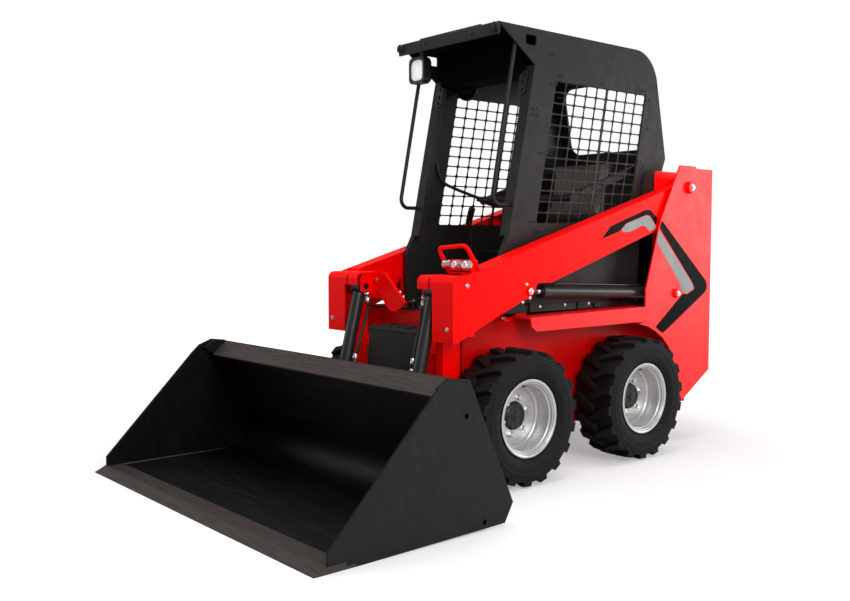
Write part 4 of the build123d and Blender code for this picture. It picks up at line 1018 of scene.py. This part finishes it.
def weld_bead(name, corners, radius_mm, material, body):
    """A weld bead: a thin tube whose radius ripples every few millimetres along its path."""
    corners = np.asarray(corners, float)
    lengths = np.append(0, np.cumsum(np.linalg.norm(np.diff(corners, axis=0), axis=1)))
    along = np.linspace(0, lengths[-1], max(int(lengths[-1] / 0.004), 8))
    path = np.stack([np.interp(along, lengths, corners[:, axis]) for axis in range(3)], axis=1)
    radius = radius_mm * (1 + 0.16 * np.sin(along * 2 * math.pi / 0.012))
    return tubes(name, [(path, radius)], material, body, around=6)


weld_bead("edge_weld", [side_point(-868, -1170, 20), side_point(868, -1170, 20)], 4, finishes["engine"], "bucket")
for side, hand in hands:
    seam = [side_point(side * 868, -1165, 18), side_point(side * 868, -640, 18)]
    weld_bead(f"side_weld_{hand}", seam, 4, finishes["engine"], "bucket")

# %% [markdown]
# The stage is a pale floor and a white surround. Camera rays see plain white there, while the
# light that falls on the machine, and even more what the paint mirrors, stays at a lower level,
# so that black stays black and red stays red. The floor keeps the machine's shadow.

# %% Floor and surround
def stage_floor(size):
    """A flat square of the given size in metres under the machine."""
    corners = np.array([(-1, -1, 0), (1, -1, 0), (1, 1, 0), (-1, 1, 0)]) * size / 2
    mesh = bpy.data.meshes.new("floor")
    mesh.from_pydata(corners.tolist(), [], [(0, 1, 2, 3)])
    material, tree, shader = new_material("studio_floor", Base_Color=linear("#C8C8C8"), Roughness=0.6,
                                          Specular_IOR_Level=0.1, Emission_Color=(1, 1, 1, 1))
    away = add_node(tree, "ShaderNodeVectorMath", {0: object_place(tree)}, operation="LENGTH").outputs["Value"]
    seen = add_node(tree, "ShaderNodeLightPath").outputs["Is Camera Ray"]
    white = spread(tree, away, 1.6, 4.5, 0.34, 0.85)
    glow = add_node(tree, "ShaderNodeMath", {0: seen, 1: white}, operation="MULTIPLY")
    feed(tree, shader, {"Emission Strength": glow.outputs["Value"]})
    place_mesh("floor", mesh, material)


stage_floor(60.0)
world = bpy.data.worlds.new("studio")
bpy.context.scene.world = world
world.use_nodes = True
sky = world.node_tree
# strength of the white for light on the machine, and how mirrored and camera rays differ from it
lit, mirrored_less, seen_more = 0.5, -0.22, 0.5
path = add_node(sky, "ShaderNodeLightPath")
strength = lit
for ray, change in (("Is Glossy Ray", mirrored_less), ("Is Camera Ray", seen_more)):
    strength = add_node(sky, "ShaderNodeMath", {0: path.outputs[ray], 1: change, 2: strength},
                        operation="MULTIPLY_ADD").outputs["Value"]
feed(sky, sky.nodes["Background"], {"Color": (1, 1, 1, 1), "Strength": strength})

# %% [markdown]
# Four large soft boxes light the machine: the key from the camera's right, a weaker fill from
# the left, one overhead, and one behind on the left that lays a sheen on the towers' flat sides.
# Large lights give the long, soft highlights of a studio shot.

# %% Lights
lights = {"key": ((5.2, -1.6, 3.4), 3.0, 200), "fill": ((-4.2, -4.0, 2.4), 3.0, 35),
          "overhead": ((0.0, 0.3, 5.0), 3.5, 170), "rear sheen": ((4.2, 6.6, 1.8), 3.0, 130)}
middle = Vector((0.0, 0.0, 0.9))
for name, (place, size, watts) in lights.items():
    light_data = bpy.data.lights.new(name, "AREA")
    light_data.size, light_data.energy = size, watts
    light = bpy.data.objects.new(name, light_data)
    light.location = place
    light.rotation_euler = (middle - Vector(place)).to_track_quat("-Z", "Y").to_euler()
    bpy.context.scene.collection.objects.link(light)

# %% [markdown]
# The camera stands at the machine's front left at about standing height, looks slightly down
# and uses a moderately wide lens.

# %% Camera
camera_data = bpy.data.cameras.new("camera")
camera = bpy.data.objects.new("camera", camera_data)
bpy.context.scene.collection.objects.link(camera)
camera_data.sensor_width = 36.0
camera_data.lens = 40.07
camera_azimuth = 49.54
camera_dip = 3.69
camera.location = (3.2718, axle_y - 2.8832, 1.0424)
camera.rotation_euler = (math.radians(90 - camera_dip), 0, math.radians(camera_azimuth))
bpy.context.scene.camera = camera
bpy.context.scene.view_settings.view_transform = "Standard"
